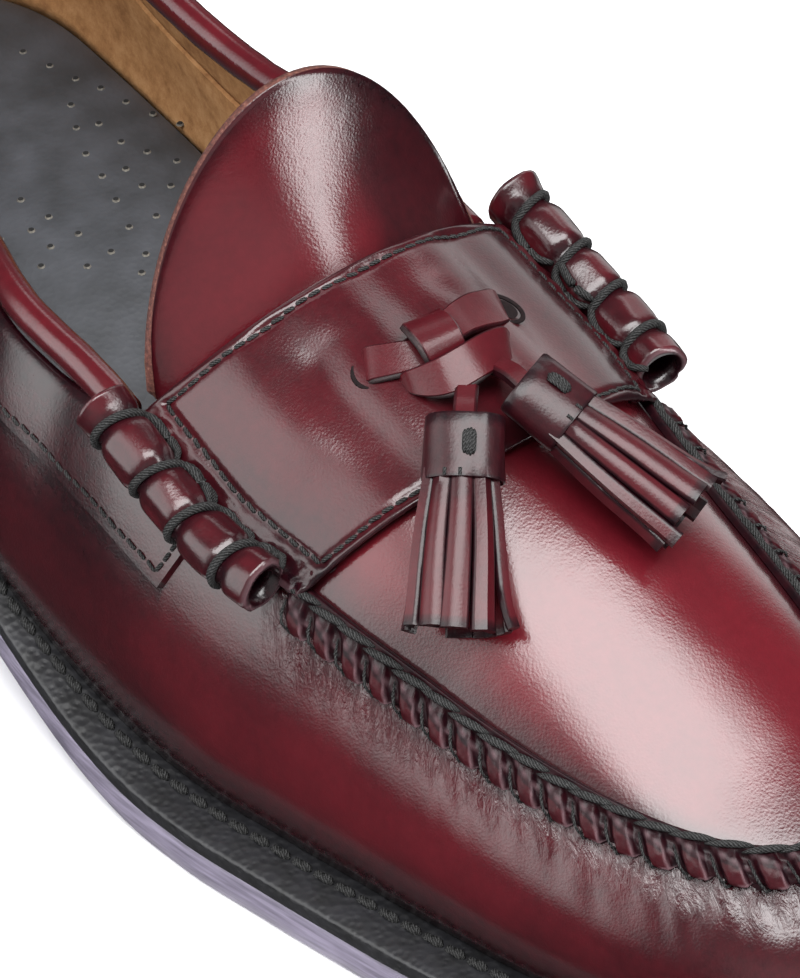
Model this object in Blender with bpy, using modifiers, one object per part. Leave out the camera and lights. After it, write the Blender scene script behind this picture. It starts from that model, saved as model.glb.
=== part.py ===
"""Tassel loafer, right shoe, standing empty on its sole.

+X runs from heel to toe, +Y to the inner side of the foot and +Z up. The origin is under the middle of
the outsole, on the floor. Every main surface comes from closed loops around the last, and each loop is
read from a short table with a row for each station from heel (0) to toe (1).
"""
import math

import bmesh
import bpy
from mathutils import Matrix, Vector

# Main sizes of the shoe
OUTSOLE_LENGTH = 0.300
BALL_WIDTH = 0.107
HEEL_SEAT_WIDTH = 0.070
HEEL_HEIGHT = 0.022
HEEL_LENGTH = 0.076
TOP_PIECE_THICKNESS = 0.006
TOE_SPRING = 0.010
OUTSOLE_THICKNESS = 0.0065
WELT_THICKNESS = 0.003
WELT_REACH = 0.0078
WAIST_REACH = 0.0035
WELT_INNER_WIDTH = 0.009
INSOLE_THICKNESS = 0.003
INSOLE_CLEARANCE = 0.0008
SOLE_EDGE = 0.0006
HEEL_TAPER = 0.0020
HEEL_INSET = 0.0004
HEEL_BREAST_HOLLOW = 0.004

# Upper
WALL = 0.002
BACK_HEIGHT = 0.088
INSTEP_HEIGHT = 0.0815
SEAM_TOE_HEIGHT = 0.040
OPENING_WIDTH = 0.072
PLUG_WIDTH = 0.074
SEAM_SET_BACK = 0.023
COLLAR_SET_BACK = 0.008
BAND_STEP = 0.0009
BAND_FRONT = 0.560
BAND_BACK_SHARE = 0.580
BAND_FRONT_SHARE = 0.640
THROAT = 0.620

# Raised seam, topline bead and strap
SEAM_WIDTH = 0.0062
SEAM_LIP = 0.0016
SEAM_HEIGHT = 0.0026
SEAM_SEAT = 0.0004
BEAD_HEIGHT = 0.0060
BEAD_WIDTH = 0.0056
STRAP_THICKNESS = 0.0020
STRAP_REAR = OUTSOLE_LENGTH * 0.521667
STRAP_LENGTH = OUTSOLE_LENGTH * 0.133333
STRAP_SWEEP = 0.0095
STRAP_SPAN = 0.900
STRAP_SEAT = 0.0005
ROLL_REAR = OUTSOLE_LENGTH * 0.515000
ROLL_LENGTH = OUTSOLE_LENGTH * 0.128333
ROLL_RADIUS = 0.0046
ROLL_BORE = 0.0022
ROLL_PINCHES = 4
ROLL_PINCH_DEPTH = 0.0006
ROLL_RISE = 0.0038
ROLL_OUT = 0.0040
BEAD_END = 0.535
SEAM_START = 0.692

# Tongue
TONGUE_THICKNESS = 0.0020
TONGUE_RISE = 0.0350
TONGUE_HALF_WIDTH = 0.0340
TONGUE_TUCK = 0.0200
TONGUE_SEAT = 0.0006

# Lace and tassels
LACE_WIDTH = 0.0052
LACE_THICKNESS = 0.0014
STEM_WIDTH = 0.0036
STEM_GAP = 0.0009
SLOT_LENGTH = 0.0070
SLOT_WIDTH = 0.0036
CAP_LENGTH = 0.0100
CAP_WIDTH = 0.0120
FRINGE_LENGTH = 0.0225
FRINGE_WIDTH = 0.0165
FRINGE_STRIPS = 10
STRIP_WIDTH = 0.0036
STRIP_THICKNESS = 0.0018
TASSEL_FLATNESS = 0.62
KNOT_PLACE = OUTSOLE_LENGTH * 0.628333
KNOT_SIDE = -0.0030
KNOT_RADIUS = 0.0042
SLOT_SPREAD = 0.0122
SLOT_PLACE = OUTSOLE_LENGTH * 0.608333

GAP = 0.0003
MIDDLE_SHIFT = 0.0030

# How finely the surfaces are divided
SECTIONS = 36
PLUG_COLUMNS = 12
TONGUE_ROWS = 11
TONGUE_FLAT_ROWS = 3
TONGUE_COLUMNS = 12
STRAP_ROWS = 6
STRAP_COLUMNS = 18
ROLL_SIDES = 10

# Half of the sole's outline as shares of the ball width, before the ends are rounded
OUTLINE = {
    "station": (0.00, 0.12, 0.25, 0.35, 0.45, 0.55, 0.62, 0.68, 0.74, 0.80, 0.90, 1.00),
    "outer": (0.327, 0.331, 0.370, 0.450, 0.529, 0.547, 0.531, 0.498, 0.468, 0.448, 0.436, 0.430),
    "inner": (0.327, 0.322, 0.308, 0.290, 0.300, 0.365, 0.430, 0.477, 0.500, 0.505, 0.520, 0.540),
}
# Underside of the outsole: shares of the heel height and of the toe spring
SOLE_LINE = {
    "station": (0.00, 0.24, 0.30, 0.38, 0.46, 0.54, 0.60, 0.74, 0.80, 0.90, 1.00),
    "heel": (1.00, 0.975, 0.910, 0.680, 0.370, 0.110, 0.00, 0.00, 0.00, 0.00, 0.00),
    "spring": (0.00, 0.00, 0.00, 0.00, 0.00, 0.00, 0.00, 0.00, 0.06, 0.40, 1.00),
}
# Rim of the wall: topline at the back, moccasin seam at the front
RIM = {
    "station": (0.00, 0.14, 0.25, 0.35, 0.43, 0.50, 0.57, 0.64, 0.72, 0.80, 0.90, 1.00),
    "opening": (0.760, 0.765, 0.790, 0.860, 0.930, 0.500, 0.00, 0.00, 0.00, 0.00, 0.00, 0.00),
    "plug": (0.00, 0.00, 0.00, 0.00, 0.040, 0.460, 0.960, 0.965, 0.890, 0.835, 0.825, 0.830),
    "shift": (0.00, -0.012, -0.020, -0.035, -0.046, -0.044, -0.038, -0.036, -0.035, -0.021, 0.002, 0.022),
    "back": (1.00, 0.875, 0.560, 0.440, 0.420, 0.390, 0.315, 0.225, 0.160, 0.085, 0.025, 0.00),
    "toe": (0.00, 0.02, 0.50, 0.73, 0.80, 0.82, 0.86, 0.90, 0.97, 1.00, 1.00, 1.00),
}
# Crest of the plug and instep as shares of the instep height, and how full its sides are
CREST = {
    "station": (0.40, 0.50, 0.56, 0.62, 0.70, 0.78, 0.86, 0.94, 1.00),
    "height": (1.120, 1.080, 1.020, 0.970, 0.910, 0.820, 0.700, 0.570, 0.492),
    "fullness": (1.05, 1.05, 1.05, 1.02, 0.96, 0.86, 0.78, 0.74, 0.74),
}
# How far the wall bulges past the feather line (share of the ball width) and how high
BULGE = {
    "station": (0.00, 0.14, 0.30, 0.45, 0.60, 0.72, 0.86, 1.00),
    "out": (0.070, 0.050, 0.020, 0.030, 0.055, 0.060, 0.062, 0.066),
    "height": (0.400, 0.420, 0.450, 0.480, 0.520, 0.560, 0.600, 0.620),
}


def read(table, column, station):
    """Value of one table column at a station, by a smooth curve that doesn't overshoot."""
    xs = table["station"]
    ys = table[column]
    if station <= xs[0]:
        return ys[0]
    if station >= xs[-1]:
        return ys[-1]
    i = 0
    while station > xs[i + 1]:
        i += 1
    steps = [xs[j + 1] - xs[j] for j in range(len(xs) - 1)]
    rates = [(ys[j + 1] - ys[j]) / steps[j] for j in range(len(xs) - 1)]

    def slope(j):
        if j == 0:
            return rates[0]
        if j == len(xs) - 1:
            return rates[-1]
        if rates[j - 1] * rates[j] <= 0:
            return 0.0
        a = 2 * steps[j] + steps[j - 1]
        b = steps[j] + 2 * steps[j - 1]
        return (a + b) / (a / rates[j - 1] + b / rates[j])

    t = (station - xs[i]) / steps[i]
    m0 = slope(i) * steps[i]
    m1 = slope(i + 1) * steps[i]
    return ((2 * t ** 3 - 3 * t ** 2 + 1) * ys[i] + (t ** 3 - 2 * t ** 2 + t) * m0
            + (3 * t ** 2 - 2 * t ** 3) * ys[i + 1] + (t ** 3 - t ** 2) * m1)


def rounded(station, heel, toe, power):
    """Share of the full half width that is left where the two ends of a loop are rounded."""
    h = min(1.0, max(0.0, (heel - station) / heel))
    t = min(1.0, max(0.0, (station - toe) / (1 - toe)))
    return (1 - h ** power) ** (1 / power) * (1 - t ** power) ** (1 / power)


def outline(station, side, inset=0.0):
    """Point of the sole's outline in plan, moved in by an inset. Side is -1 outer, +1 inner."""
    x = inset + station * (OUTSOLE_LENGTH - 2 * inset)
    share = read(OUTLINE, "outer" if side < 0 else "inner", station)
    half = share * BALL_WIDTH
    if station < 0.3:
        half += (0.5 * HEEL_SEAT_WIDTH - 0.327 * BALL_WIDTH) * (1 - station / 0.3)
    half = max(0.0, half - inset) * rounded(station, 0.12, 0.66, 2.25)
    return x - OUTSOLE_LENGTH / 2, side * half


def sole_line(station):
    return read(SOLE_LINE, "heel", station) * HEEL_HEIGHT + read(SOLE_LINE, "spring", station) * TOE_SPRING


def station_of(x):
    return (x + OUTSOLE_LENGTH / 2) / OUTSOLE_LENGTH


def reach(station):
    blend = min(1.0, max(0.0, (station - 0.36) / 0.26))
    blend = blend * blend * (3 - 2 * blend)
    return WAIST_REACH + (WELT_REACH - WAIST_REACH) * blend


def welt_top(x):
    return sole_line(station_of(x)) + OUTSOLE_THICKNESS + GAP + WELT_THICKNESS


def feather(station, side):
    """Line where the wall meets the welt."""
    inset = reach(station)
    rear = WAIST_REACH
    front = WELT_REACH
    x = rear + station * (OUTSOLE_LENGTH - rear - front) - OUTSOLE_LENGTH / 2
    y = outline(station, side)[1]
    y -= side * inset * rounded(station, 0.12, 0.66, 2.25)
    return Vector((x, y, welt_top(x) + GAP))


def rim(station, side):
    """Upper edge of the wall, at its outer face."""
    front = OUTSOLE_LENGTH - SEAM_SET_BACK
    x = COLLAR_SET_BACK + station * (front - COLLAR_SET_BACK) - OUTSOLE_LENGTH / 2
    half = 0.5 * (read(RIM, "opening", station) * OPENING_WIDTH + read(RIM, "plug", station) * PLUG_WIDTH)
    half *= rounded(station, 0.14, 0.68, 2.25)
    y = read(RIM, "shift", station) * BALL_WIDTH + side * half
    z = read(RIM, "back", station) * BACK_HEIGHT + read(RIM, "toe", station) * SEAM_TOE_HEIGHT
    return Vector((x, y, z))


def rim_base(station, side):
    """Rim of the leather wall: lower than the rim where the topline bead sits on it."""
    point = rim(station, side)
    blend = min(1.0, max(0.0, (station - BEAD_END) / 0.012))
    point.z -= (BEAD_HEIGHT + GAP) * (1 - blend * blend * (3 - 2 * blend))
    return point


def wall_point(station, side, t):
    """Outer face of the side wall: t is 0 at the feather line and 1 at the rim."""
    low = feather(station, side)
    top = rim_base(station, side)
    out = read(BULGE, "out", station) * BALL_WIDTH
    half = abs(low.y) + out * rounded(station, 0.12, 0.66, 2.25)
    rise = read(BULGE, "height", station)
    x_ends = read(BULGE, "out", 0.0) * BALL_WIDTH * (1 - station) ** 6 * -1.0
    x_ends += read(BULGE, "out", 1.0) * BALL_WIDTH * station ** 6
    mid = Vector((low.x + x_ends, side * half, low.z + rise * (top.z - low.z)))
    return low * (1 - t) ** 2 + mid * 2 * t * (1 - t) + top * t ** 2


def wall_normal(station, side, t):
    ds = 0.004
    dt = 0.02
    s0 = max(0.0005, station - ds)
    s1 = min(0.9995, station + ds)
    t0 = max(0.0, t - dt)
    t1 = min(1.0, t + dt)
    along = wall_point(s1, side, t) - wall_point(s0, side, t)
    rise = wall_point(station, side, t1) - wall_point(station, side, t0)
    normal = along.cross(rise) * (1 if side < 0 else -1)
    if normal.length < 1e-12:
        normal = Vector((1 if station > 0.5 else -1, 0, 0))
    return normal.normalized()


def crown_point(x, b):
    """Top of the plug and instep at length x; b runs across from -1 (outer rim) to 1 (inner rim)."""
    front = OUTSOLE_LENGTH - SEAM_SET_BACK
    station = (x + OUTSOLE_LENGTH / 2 - COLLAR_SET_BACK) / (front - COLLAR_SET_BACK)
    station = min(1.0, max(0.0, station))
    outer = rim(station, -1)
    inner = rim(station, 1)
    share = (b + 1) / 2
    base = outer.lerp(inner, share)
    crest = read(CREST, "height", station) * INSTEP_HEIGHT
    full = read(CREST, "fullness", station)
    lift = max(0.0, crest - base.z) * (1 - abs(b) ** 2.1) ** full
    return Vector((x, base.y, base.z + lift))


def crown_normal(x, b):
    d = 0.002
    b0 = max(-0.995, b - 0.02)
    b1 = min(0.995, b + 0.02)
    along = crown_point(x + d, b) - crown_point(x - d, b)
    across = crown_point(x, b1) - crown_point(x, b0)
    return along.cross(across).normalized()


def crown_at(x, y):
    """Point and normal of the plug and instep over a plan position."""
    front = OUTSOLE_LENGTH - SEAM_SET_BACK
    station = (x + OUTSOLE_LENGTH / 2 - COLLAR_SET_BACK) / (front - COLLAR_SET_BACK)
    station = min(0.9999, max(0.0, station))
    outer = rim(station, -1).y
    inner = rim(station, 1).y
    b = 2 * (y - outer) / max(1e-6, inner - outer) - 1
    b = min(0.999, max(-0.999, b))
    return crown_point(x, b), crown_normal(min(x, front - OUTSOLE_LENGTH / 2 - 0.0025), b)


def stations(count):
    return [(1 - math.cos(math.pi * i / count)) / 2 for i in range(count + 1)]


scene = bpy.context.scene
for item in list(bpy.data.objects):
    bpy.data.objects.remove(item, do_unlink=True)

parts = bpy.data.collections.new("tassel_loafer")
scene.collection.children.link(parts)
cutters = bpy.data.collections.new("cutters")
scene.collection.children.link(cutters)
root = bpy.data.objects.new("loafer_root", None)
parts.objects.link(root)
root.location.y = MIDDLE_SHIFT


def material(name, color, roughness):
    made = bpy.data.materials.new(name)
    made.use_nodes = True
    shader = made.node_tree.nodes["Principled BSDF"]
    shader.inputs["Base Color"].default_value = (*color, 1.0)
    shader.inputs["Roughness"].default_value = roughness
    shader.inputs["Metallic"].default_value = 0.0
    return made


BURGUNDY = material("burgundy_leather", (0.130, 0.012, 0.020), 0.25)
BURGUNDY_EDGE = material("burgundy_leather_dark", (0.060, 0.010, 0.013), 0.35)
SOCK = material("charcoal_leather", (0.040, 0.042, 0.045), 0.55)
WELTING = material("dark_welt_leather", (0.030, 0.030, 0.033), 0.55)
SOLE = material("dark_sole_edge", (0.060, 0.058, 0.070), 0.25)
RUBBER = material("black_rubber", (0.020, 0.020, 0.020), 0.70)


def new_object(name, mesh, look, group=parts):
    mesh.materials.clear()
    mesh.materials.append(look)
    made = bpy.data.objects.new(name, mesh)
    group.objects.link(made)
    made.parent = root
    return made


def grid_mesh(name, point, u_count, v_count, wrap=False):
    """Grid from create_grid, bent by a function of its row and column."""
    bm = bmesh.new()
    bmesh.ops.create_grid(bm, x_segments=u_count, y_segments=v_count, size=1.0)
    for vert in bm.verts:
        i = round((vert.co.x + 1) / 2 * u_count)
        j = round((vert.co.y + 1) / 2 * v_count)
        vert.co = point(i, j)
    if wrap:
        bmesh.ops.remove_doubles(bm, verts=bm.verts, dist=1e-6)
    mesh = bpy.data.meshes.new(name)
    bm.to_mesh(mesh)
    bm.free()
    return mesh


def finish(obj, angle=40):
    mesh = obj.data
    mesh.shade_smooth()
    mesh.set_sharp_from_angle(angle=math.radians(angle))


def skin(name, rings, wrap=False, caps=(False, False)):
    """Skin through closed rings of equally many points, as a loop or with its ends capped."""
    bm = bmesh.new()
    rows = [[bm.verts.new(p) for p in ring] for ring in rings]
    count = len(rows[0])
    pairs = list(zip(rows, rows[1:]))
    if wrap:
        pairs.append((rows[-1], rows[0]))
    for a, b in pairs:
        for k in range(count):
            n = (k + 1) % count
            bm.faces.new((a[k], a[n], b[n], b[k]))
    if caps[0]:
        bm.faces.new(rows[0])
    if caps[1]:
        bm.faces.new(rows[-1])
    bmesh.ops.remove_doubles(bm, verts=bm.verts, dist=1e-6)
    bmesh.ops.dissolve_degenerate(bm, dist=1e-7, edges=bm.edges)
    bmesh.ops.recalc_face_normals(bm, faces=bm.faces)
    mesh = bpy.data.meshes.new(name)
    bm.to_mesh(mesh)
    bm.free()
    return mesh


def marks(*extra):
    """Stations of the sections: close at the round ends, plus the ones where a form starts or stops."""
    rows = [s for s in stations(SECTIONS) if all(abs(s - e) > 0.006 for e in extra)]
    return sorted(rows + list(extra))


ROWS = marks(BAND_FRONT - 0.002, BAND_FRONT, BEAD_END, BEAD_END + 0.012, THROAT, SEAM_START)


def around(rows):
    """Loop of (station, side) from the heel along the outer side to the toe and back."""
    return [(s, -1) for s in rows] + [(s, 1) for s in reversed(rows[1:-1])]


# Outsole: one plate from heel to toe, with a softened edge
def sole_ring(station, low, high, edge, columns=4):
    ring = []
    x, _ = outline(station, -1, edge)
    y_low = [outline(station, -1, edge)[1], outline(station, 1, edge)[1]]
    y_out = [outline(station, -1)[1], outline(station, 1)[1]]
    x_out = outline(station, -1)[0]
    for k in range(columns + 1):
        ring.append(Vector((x, y_low[0] + (y_low[1] - y_low[0]) * k / columns, low(x))))
    ring.append(Vector((x_out, y_out[1], low(x_out) + 2 * edge)))
    ring.append(Vector((x_out, y_out[1], high(x_out) - edge)))
    for k in range(columns + 1):
        ring.append(Vector((x, y_low[1] + (y_low[0] - y_low[1]) * k / columns, high(x))))
    ring.append(Vector((x_out, y_out[0], high(x_out) - edge)))
    ring.append(Vector((x_out, y_out[0], low(x_out) + 2 * edge)))
    return ring


def outsole_low(x):
    return sole_line(station_of(x))


def outsole_high(x):
    return sole_line(station_of(x)) + OUTSOLE_THICKNESS


sole_rings = [sole_ring(s, outsole_low, outsole_high, SOLE_EDGE) for s in ROWS]
outsole = new_object("outsole", skin("outsole", sole_rings), SOLE)
finish(outsole)


# Heel block and top piece under it
def heel_ring(share, low, high, low_inset, high_inset, columns=3):
    heel_end = HEEL_LENGTH / OUTSOLE_LENGTH
    ring = []
    spans = []
    for inset in (low_inset, high_inset):
        station = heel_end * share
        x = outline(station, -1)[0] + inset * (1 - share)
        half = [outline(station, side, inset)[1] for side in (-1, 1)]
        spans.append((x, half))
    for (x, half), z, order in ((spans[0], low, False), (spans[1], high, True)):
        for k in range(columns + 1):
            part = k / columns
            if order:
                part = 1 - part
            y = half[0] + (half[1] - half[0]) * part
            hollow = HEEL_BREAST_HOLLOW * share ** 8 * (1 - (2 * part - 1) ** 2)
            ring.append(Vector((x - hollow, y, z(x) if callable(z) else z)))
    return ring


HEEL_ROWS = [1 - math.cos(math.pi / 2 * i / 14) for i in range(15)]
heel_block = new_object(
    "heel_block",
    skin("heel_block",
         [heel_ring(q, TOP_PIECE_THICKNESS + GAP, lambda x: outsole_low(x) - GAP, HEEL_TAPER, HEEL_INSET)
          for q in HEEL_ROWS], caps=(False, True)),
    SOLE)
finish(heel_block)
heel_top_piece = new_object(
    "heel_top_piece",
    skin("heel_top_piece",
         [heel_ring(q, 0.0, TOP_PIECE_THICKNESS, HEEL_TAPER + HEEL_INSET, HEEL_TAPER) for q in HEEL_ROWS],
         caps=(False, True)),
    RUBBER)
finish(heel_top_piece)


# Welt: a flat strip all around, under the edge of the upper
def inset_point(station, side, inset):
    x = inset + station * (OUTSOLE_LENGTH - 2 * inset) - OUTSOLE_LENGTH / 2
    y = outline(station, side)[1] - side * inset * rounded(station, 0.12, 0.66, 2.25)
    return x, y


def welt_ring(station, side):
    x0, y0 = outline(station, side)
    x1, y1 = inset_point(station, side, reach(station) + WELT_INNER_WIDTH)
    ring = []
    for x, y, top in ((x0, y0, 0), (x0, y0, 1), (x1, y1, 1), (x1, y1, 0)):
        low = outsole_high(x) + GAP
        ring.append(Vector((x, y, low + WELT_THICKNESS * top)))
    return ring


welt = new_object("welt", skin("welt", [welt_ring(s, d) for s, d in around(ROWS)], wrap=True), WELTING)
finish(welt)


# Insole: plate inside the wall, on the welt's inner part
def insole_low(x):
    return welt_top(x) + GAP


def insole_ring(station, columns=4):
    inset = WALL + INSOLE_CLEARANCE
    pair = []
    for side in (-1, 1):
        edge = feather(station, side)
        x = edge.x + inset * (1 - 2 * station)
        y = edge.y - side * inset * rounded(station, 0.12, 0.66, 2.25)
        pair.append((x, y))
    ring = []
    for k in range(columns + 1):
        y = pair[0][1] + (pair[1][1] - pair[0][1]) * k / columns
        ring.append(Vector((pair[0][0], y, insole_low(pair[0][0]))))
    for k in range(columns + 1):
        y = pair[1][1] + (pair[0][1] - pair[1][1]) * k / columns
        ring.append(Vector((pair[0][0], y, insole_low(pair[0][0]) + INSOLE_THICKNESS)))
    return ring


insole = new_object("insole", skin("insole", [insole_ring(s) for s in ROWS]), SOCK)
finish(insole)


# Upper: side wall all around, closed over the toe by the plug, then given its thickness
def band_share(station):
    """Height of the quarter band's lower edge on the wall, from 0 at the feather to 1 at the rim."""
    return BAND_BACK_SHARE + (BAND_FRONT_SHARE - BAND_BACK_SHARE) * min(1.0, station / BAND_FRONT)


def wall_levels(station):
    edge = band_share(station)
    return [0.0, 0.10, 0.22, 0.36, 0.50, edge, edge + 0.025, (edge + 1.0) / 2 + 0.01, 1.0]


def upper_wall_point(station, side, level):
    t = wall_levels(station)[level]
    point = wall_point(station, side, t)
    if level > 5 and station < BAND_FRONT - 0.001:
        point = point + wall_normal(station, side, t) * BAND_STEP
    return point


def upper_mesh():
    bm = bmesh.new()
    loop = around(ROWS)
    levels = len(wall_levels(0.5))
    columns = [[bm.verts.new(upper_wall_point(s, d, k)) for k in range(levels)] for s, d in loop]
    count = len(loop)
    for i in range(count):
        a = columns[i]
        b = columns[(i + 1) % count]
        for k in range(levels - 1):
            bm.faces.new((a[k], b[k], b[k + 1], a[k + 1]))
    first = ROWS.index(THROAT)
    last = len(ROWS) - 1
    previous = None
    for i in range(first, last + 1):
        outer = columns[i][-1]
        if i == last:
            row = [outer]
        else:
            inner = columns[count - i][-1]
            row = [outer]
            for k in range(1, PLUG_COLUMNS):
                row.append(bm.verts.new(crown_point(outer.co.x, 2 * k / PLUG_COLUMNS - 1)))
            row.append(inner)
        if previous is not None:
            if len(row) == 1:
                for k in range(PLUG_COLUMNS):
                    bm.faces.new((previous[k], row[0], previous[k + 1]))
            else:
                for k in range(PLUG_COLUMNS):
                    bm.faces.new((previous[k], row[k], row[k + 1], previous[k + 1]))
        previous = row
    bmesh.ops.recalc_face_normals(bm, faces=bm.faces)
    mesh = bpy.data.meshes.new("upper")
    bm.to_mesh(mesh)
    bm.free()
    return mesh


def thicken(obj, thickness, offset=-1.0):
    solid = obj.modifiers.new("wall", "SOLIDIFY")
    solid.thickness = thickness
    solid.offset = offset
    solid.use_even_offset = True
    return solid


upper = new_object("upper", upper_mesh(), BURGUNDY)
finish(upper)
thicken(upper, WALL)


# Raised seam along the plug
def seam_ring(station, side):
    base = rim_base(station, side)
    length = (base - wall_point(station, side, 0.8)).length / 0.2
    down = min(0.5, SEAM_WIDTH / length)
    points = []
    for share, lift in ((1.0, 0.0), (0.55, 0.0), (0.0, 0.0)):
        t = 1 - down * share
        points.append((wall_point(station, side, t), wall_normal(station, side, t)))
    outward = wall_normal(station, side, 0.97)
    inward = Vector((-outward.x, -outward.y, 0)).normalized()
    plan = base + inward * SEAM_LIP
    lip, lip_normal = crown_at(plan.x, plan.y)
    up = Vector((0, 0, 1))
    ring = [points[0][0] + points[0][1] * SEAM_SEAT,
            points[1][0] + points[1][1] * SEAM_SEAT,
            base + (points[2][1] + lip_normal).normalized() * SEAM_SEAT * 1.5,
            lip + lip_normal * SEAM_SEAT]
    ring.append(lip + lip_normal * (SEAM_SEAT + SEAM_HEIGHT * 0.35))
    ring.append(base + up * (SEAM_HEIGHT + SEAM_SEAT) + outward * 0.0006)
    ring.append(points[1][0] + points[1][1] * (SEAM_HEIGHT + SEAM_SEAT))
    ring.append(points[0][0] + points[0][1] * (SEAM_SEAT + 0.0008))
    return ring


SEAM_ROWS = [s for s in ROWS if s >= SEAM_START]
seam_loop = [(s, -1) for s in SEAM_ROWS] + [(s, 1) for s in reversed(SEAM_ROWS[:-1])]
seam_rings = [seam_ring(s, d) for s, d in seam_loop]
moc_seam = new_object("moc_seam", skin("moc_seam", seam_rings, caps=(True, True)), BURGUNDY_EDGE)
finish(moc_seam)


# Rolled bead along the topline
def bead_ring(station, side, points=8):
    top = rim(station, side)
    outward = wall_normal(station, side, 0.97)
    outward = Vector((outward.x, outward.y, 0)).normalized()
    centre = top - outward * (BEAD_WIDTH / 2 - 0.0010) - Vector((0, 0, BEAD_HEIGHT / 2))
    ring = []
    for k in range(points):
        angle = 2 * math.pi * k / points
        ring.append(centre + outward * math.cos(angle) * BEAD_WIDTH / 2
                    + Vector((0, 0, math.sin(angle) * BEAD_HEIGHT / 2)))
    return ring


BEAD_ROWS = [s for s in ROWS if s <= BEAD_END]
bead_loop = [(s, 1) for s in reversed(BEAD_ROWS)] + [(s, -1) for s in BEAD_ROWS[1:]]
collar_bead = new_object("collar_bead", skin("collar_bead", [bead_ring(s, d) for s, d in bead_loop],
                                             caps=(True, True)), BURGUNDY)
finish(collar_bead)


# Tongue: lies under the plug and the strap, then stands up behind the strap
def strap_edge(b, front):
    """Length position of the strap's rear or front edge; the middle is further forward than the ends."""
    x = STRAP_REAR - OUTSOLE_LENGTH / 2 + STRAP_SWEEP * (1 - b * b)
    if front:
        x += STRAP_LENGTH
    return x


def tongue_point(i, j):
    b = 2 * j / TONGUE_COLUMNS - 1
    span = TONGUE_HALF_WIDTH / (0.5 * PLUG_WIDTH)
    flat = TONGUE_FLAT_ROWS
    rear = strap_edge(b, False) + 0.0015
    front = strap_edge(b, False) + TONGUE_TUCK + 0.006
    x = front + (rear - front) * min(1.0, i / flat)
    point = crown_point(x, b * span) - crown_normal(x, b * span) * (WALL + TONGUE_SEAT)
    if i > flat:
        u = (i - flat) / (TONGUE_ROWS - flat)
        height = TONGUE_RISE * max(0.10, (1 - abs(b) ** 2.0) ** (1 / 2.0))
        point.x -= height * (0.66 * u - 0.24 * u * u)
        point.z += height * (0.56 * u + 0.36 * u * u)
    return point


tongue_mesh = grid_mesh("tongue", tongue_point, TONGUE_ROWS, TONGUE_COLUMNS)
tongue = new_object("tongue", tongue_mesh, BURGUNDY)
finish(tongue)
thicken(tongue, TONGUE_THICKNESS, offset=1.0)


# Saddle strap over the instep
def strap_point(i, j):
    b = (2 * j / STRAP_COLUMNS - 1) * STRAP_SPAN
    rear = strap_edge(b, False)
    front = strap_edge(b, True)
    x = rear + (front - rear) * i / STRAP_ROWS
    return crown_point(x, b) + crown_normal(x, b) * STRAP_SEAT


strap_mesh = grid_mesh("saddle_strap", strap_point, STRAP_ROWS, STRAP_COLUMNS)
saddle_strap = new_object("saddle_strap", strap_mesh, BURGUNDY)
finish(saddle_strap)
thicken(saddle_strap, STRAP_THICKNESS, offset=1.0)


# Rolled ends of the strap: leather tubes with open ends, drawn in by their thread
def roll_rings(side):
    front = OUTSOLE_LENGTH - SEAM_SET_BACK
    count = ROLL_PINCHES * 3 + 3
    outer = []
    bore = []
    for i in range(count + 1):
        share = i / count
        x = ROLL_REAR + ROLL_LENGTH * share
        station = (x - COLLAR_SET_BACK) / (front - COLLAR_SET_BACK)
        base = rim(station, side)
        ahead = rim(station + 0.01, side)
        behind = rim(station - 0.01, side)
        axis = (ahead - behind).normalized()
        across = Vector((-axis.y, axis.x, 0)).normalized() * side
        lift = axis.cross(across) * side
        if lift.z < 0:
            lift = -lift
        centre = base + across * ROLL_OUT + Vector((0, 0, ROLL_RISE))
        phase = (share * (ROLL_PINCHES + 1)) % 1.0
        pinch = 0.0
        if 0.1 < share < 0.9:
            pinch = ROLL_PINCH_DEPTH * max(0.0, math.cos(2 * math.pi * phase))
        for radius, rings in ((ROLL_RADIUS - pinch, outer), (ROLL_BORE, bore)):
            rings.append([centre + across * radius * math.cos(2 * math.pi * k / ROLL_SIDES)
                          + lift * radius * math.sin(2 * math.pi * k / ROLL_SIDES)
                          for k in range(ROLL_SIDES)])
    return outer + list(reversed(bore))


for label, side in (("beef_roll_outer", -1), ("beef_roll_inner", 1)):
    roll = new_object(label, skin(label, roll_rings(side), wrap=True), BURGUNDY_EDGE)
    finish(roll)


# Lace: both strips come up through slots in the strap, meet in a knot and end in two stems
def top_of_strap(x, y, lift):
    """Point over the strap at a plan position, and the strap's normal there."""
    point, normal = crown_at(x, y)
    return point + normal * (STRAP_SEAT + STRAP_THICKNESS + lift), normal


def strip_mesh(name, path, wide, width, thickness):
    """Flat strip swept along a path; wide is the direction of its width."""
    rings = []
    for k, point in enumerate(path):
        ahead = path[min(k + 1, len(path) - 1)]
        behind = path[max(k - 1, 0)]
        axis = (ahead - behind).normalized()
        across = (wide - axis * wide.dot(axis)).normalized()
        up = axis.cross(across).normalized()
        ring = []
        for a, c in ((-1, -1), (1, -1), (1, 1), (-1, 1)):
            ring.append(point + across * a * width / 2 + up * c * thickness / 2)
        rings.append(ring)
    return skin(name, rings, caps=(True, True))


def fuse(target, name, mesh):
    other = new_object(name, mesh, target.data.materials[0], cutters)
    other.hide_render = True
    other.display_type = "WIRE"
    union = target.modifiers.new(name, "BOOLEAN")
    union.operation = "UNION"
    union.solver = "EXACT"
    union.object = other


def ball_mesh(name, centre, radii, axes):
    bm = bmesh.new()
    bmesh.ops.create_uvsphere(bm, u_segments=12, v_segments=8, radius=1.0)
    turn = Matrix(axes).transposed()
    for vert in bm.verts:
        local = Vector((vert.co.x * radii[0], vert.co.y * radii[1], vert.co.z * radii[2]))
        vert.co = centre + turn @ local
    mesh = bpy.data.meshes.new(name)
    bm.to_mesh(mesh)
    bm.free()
    return mesh


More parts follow.
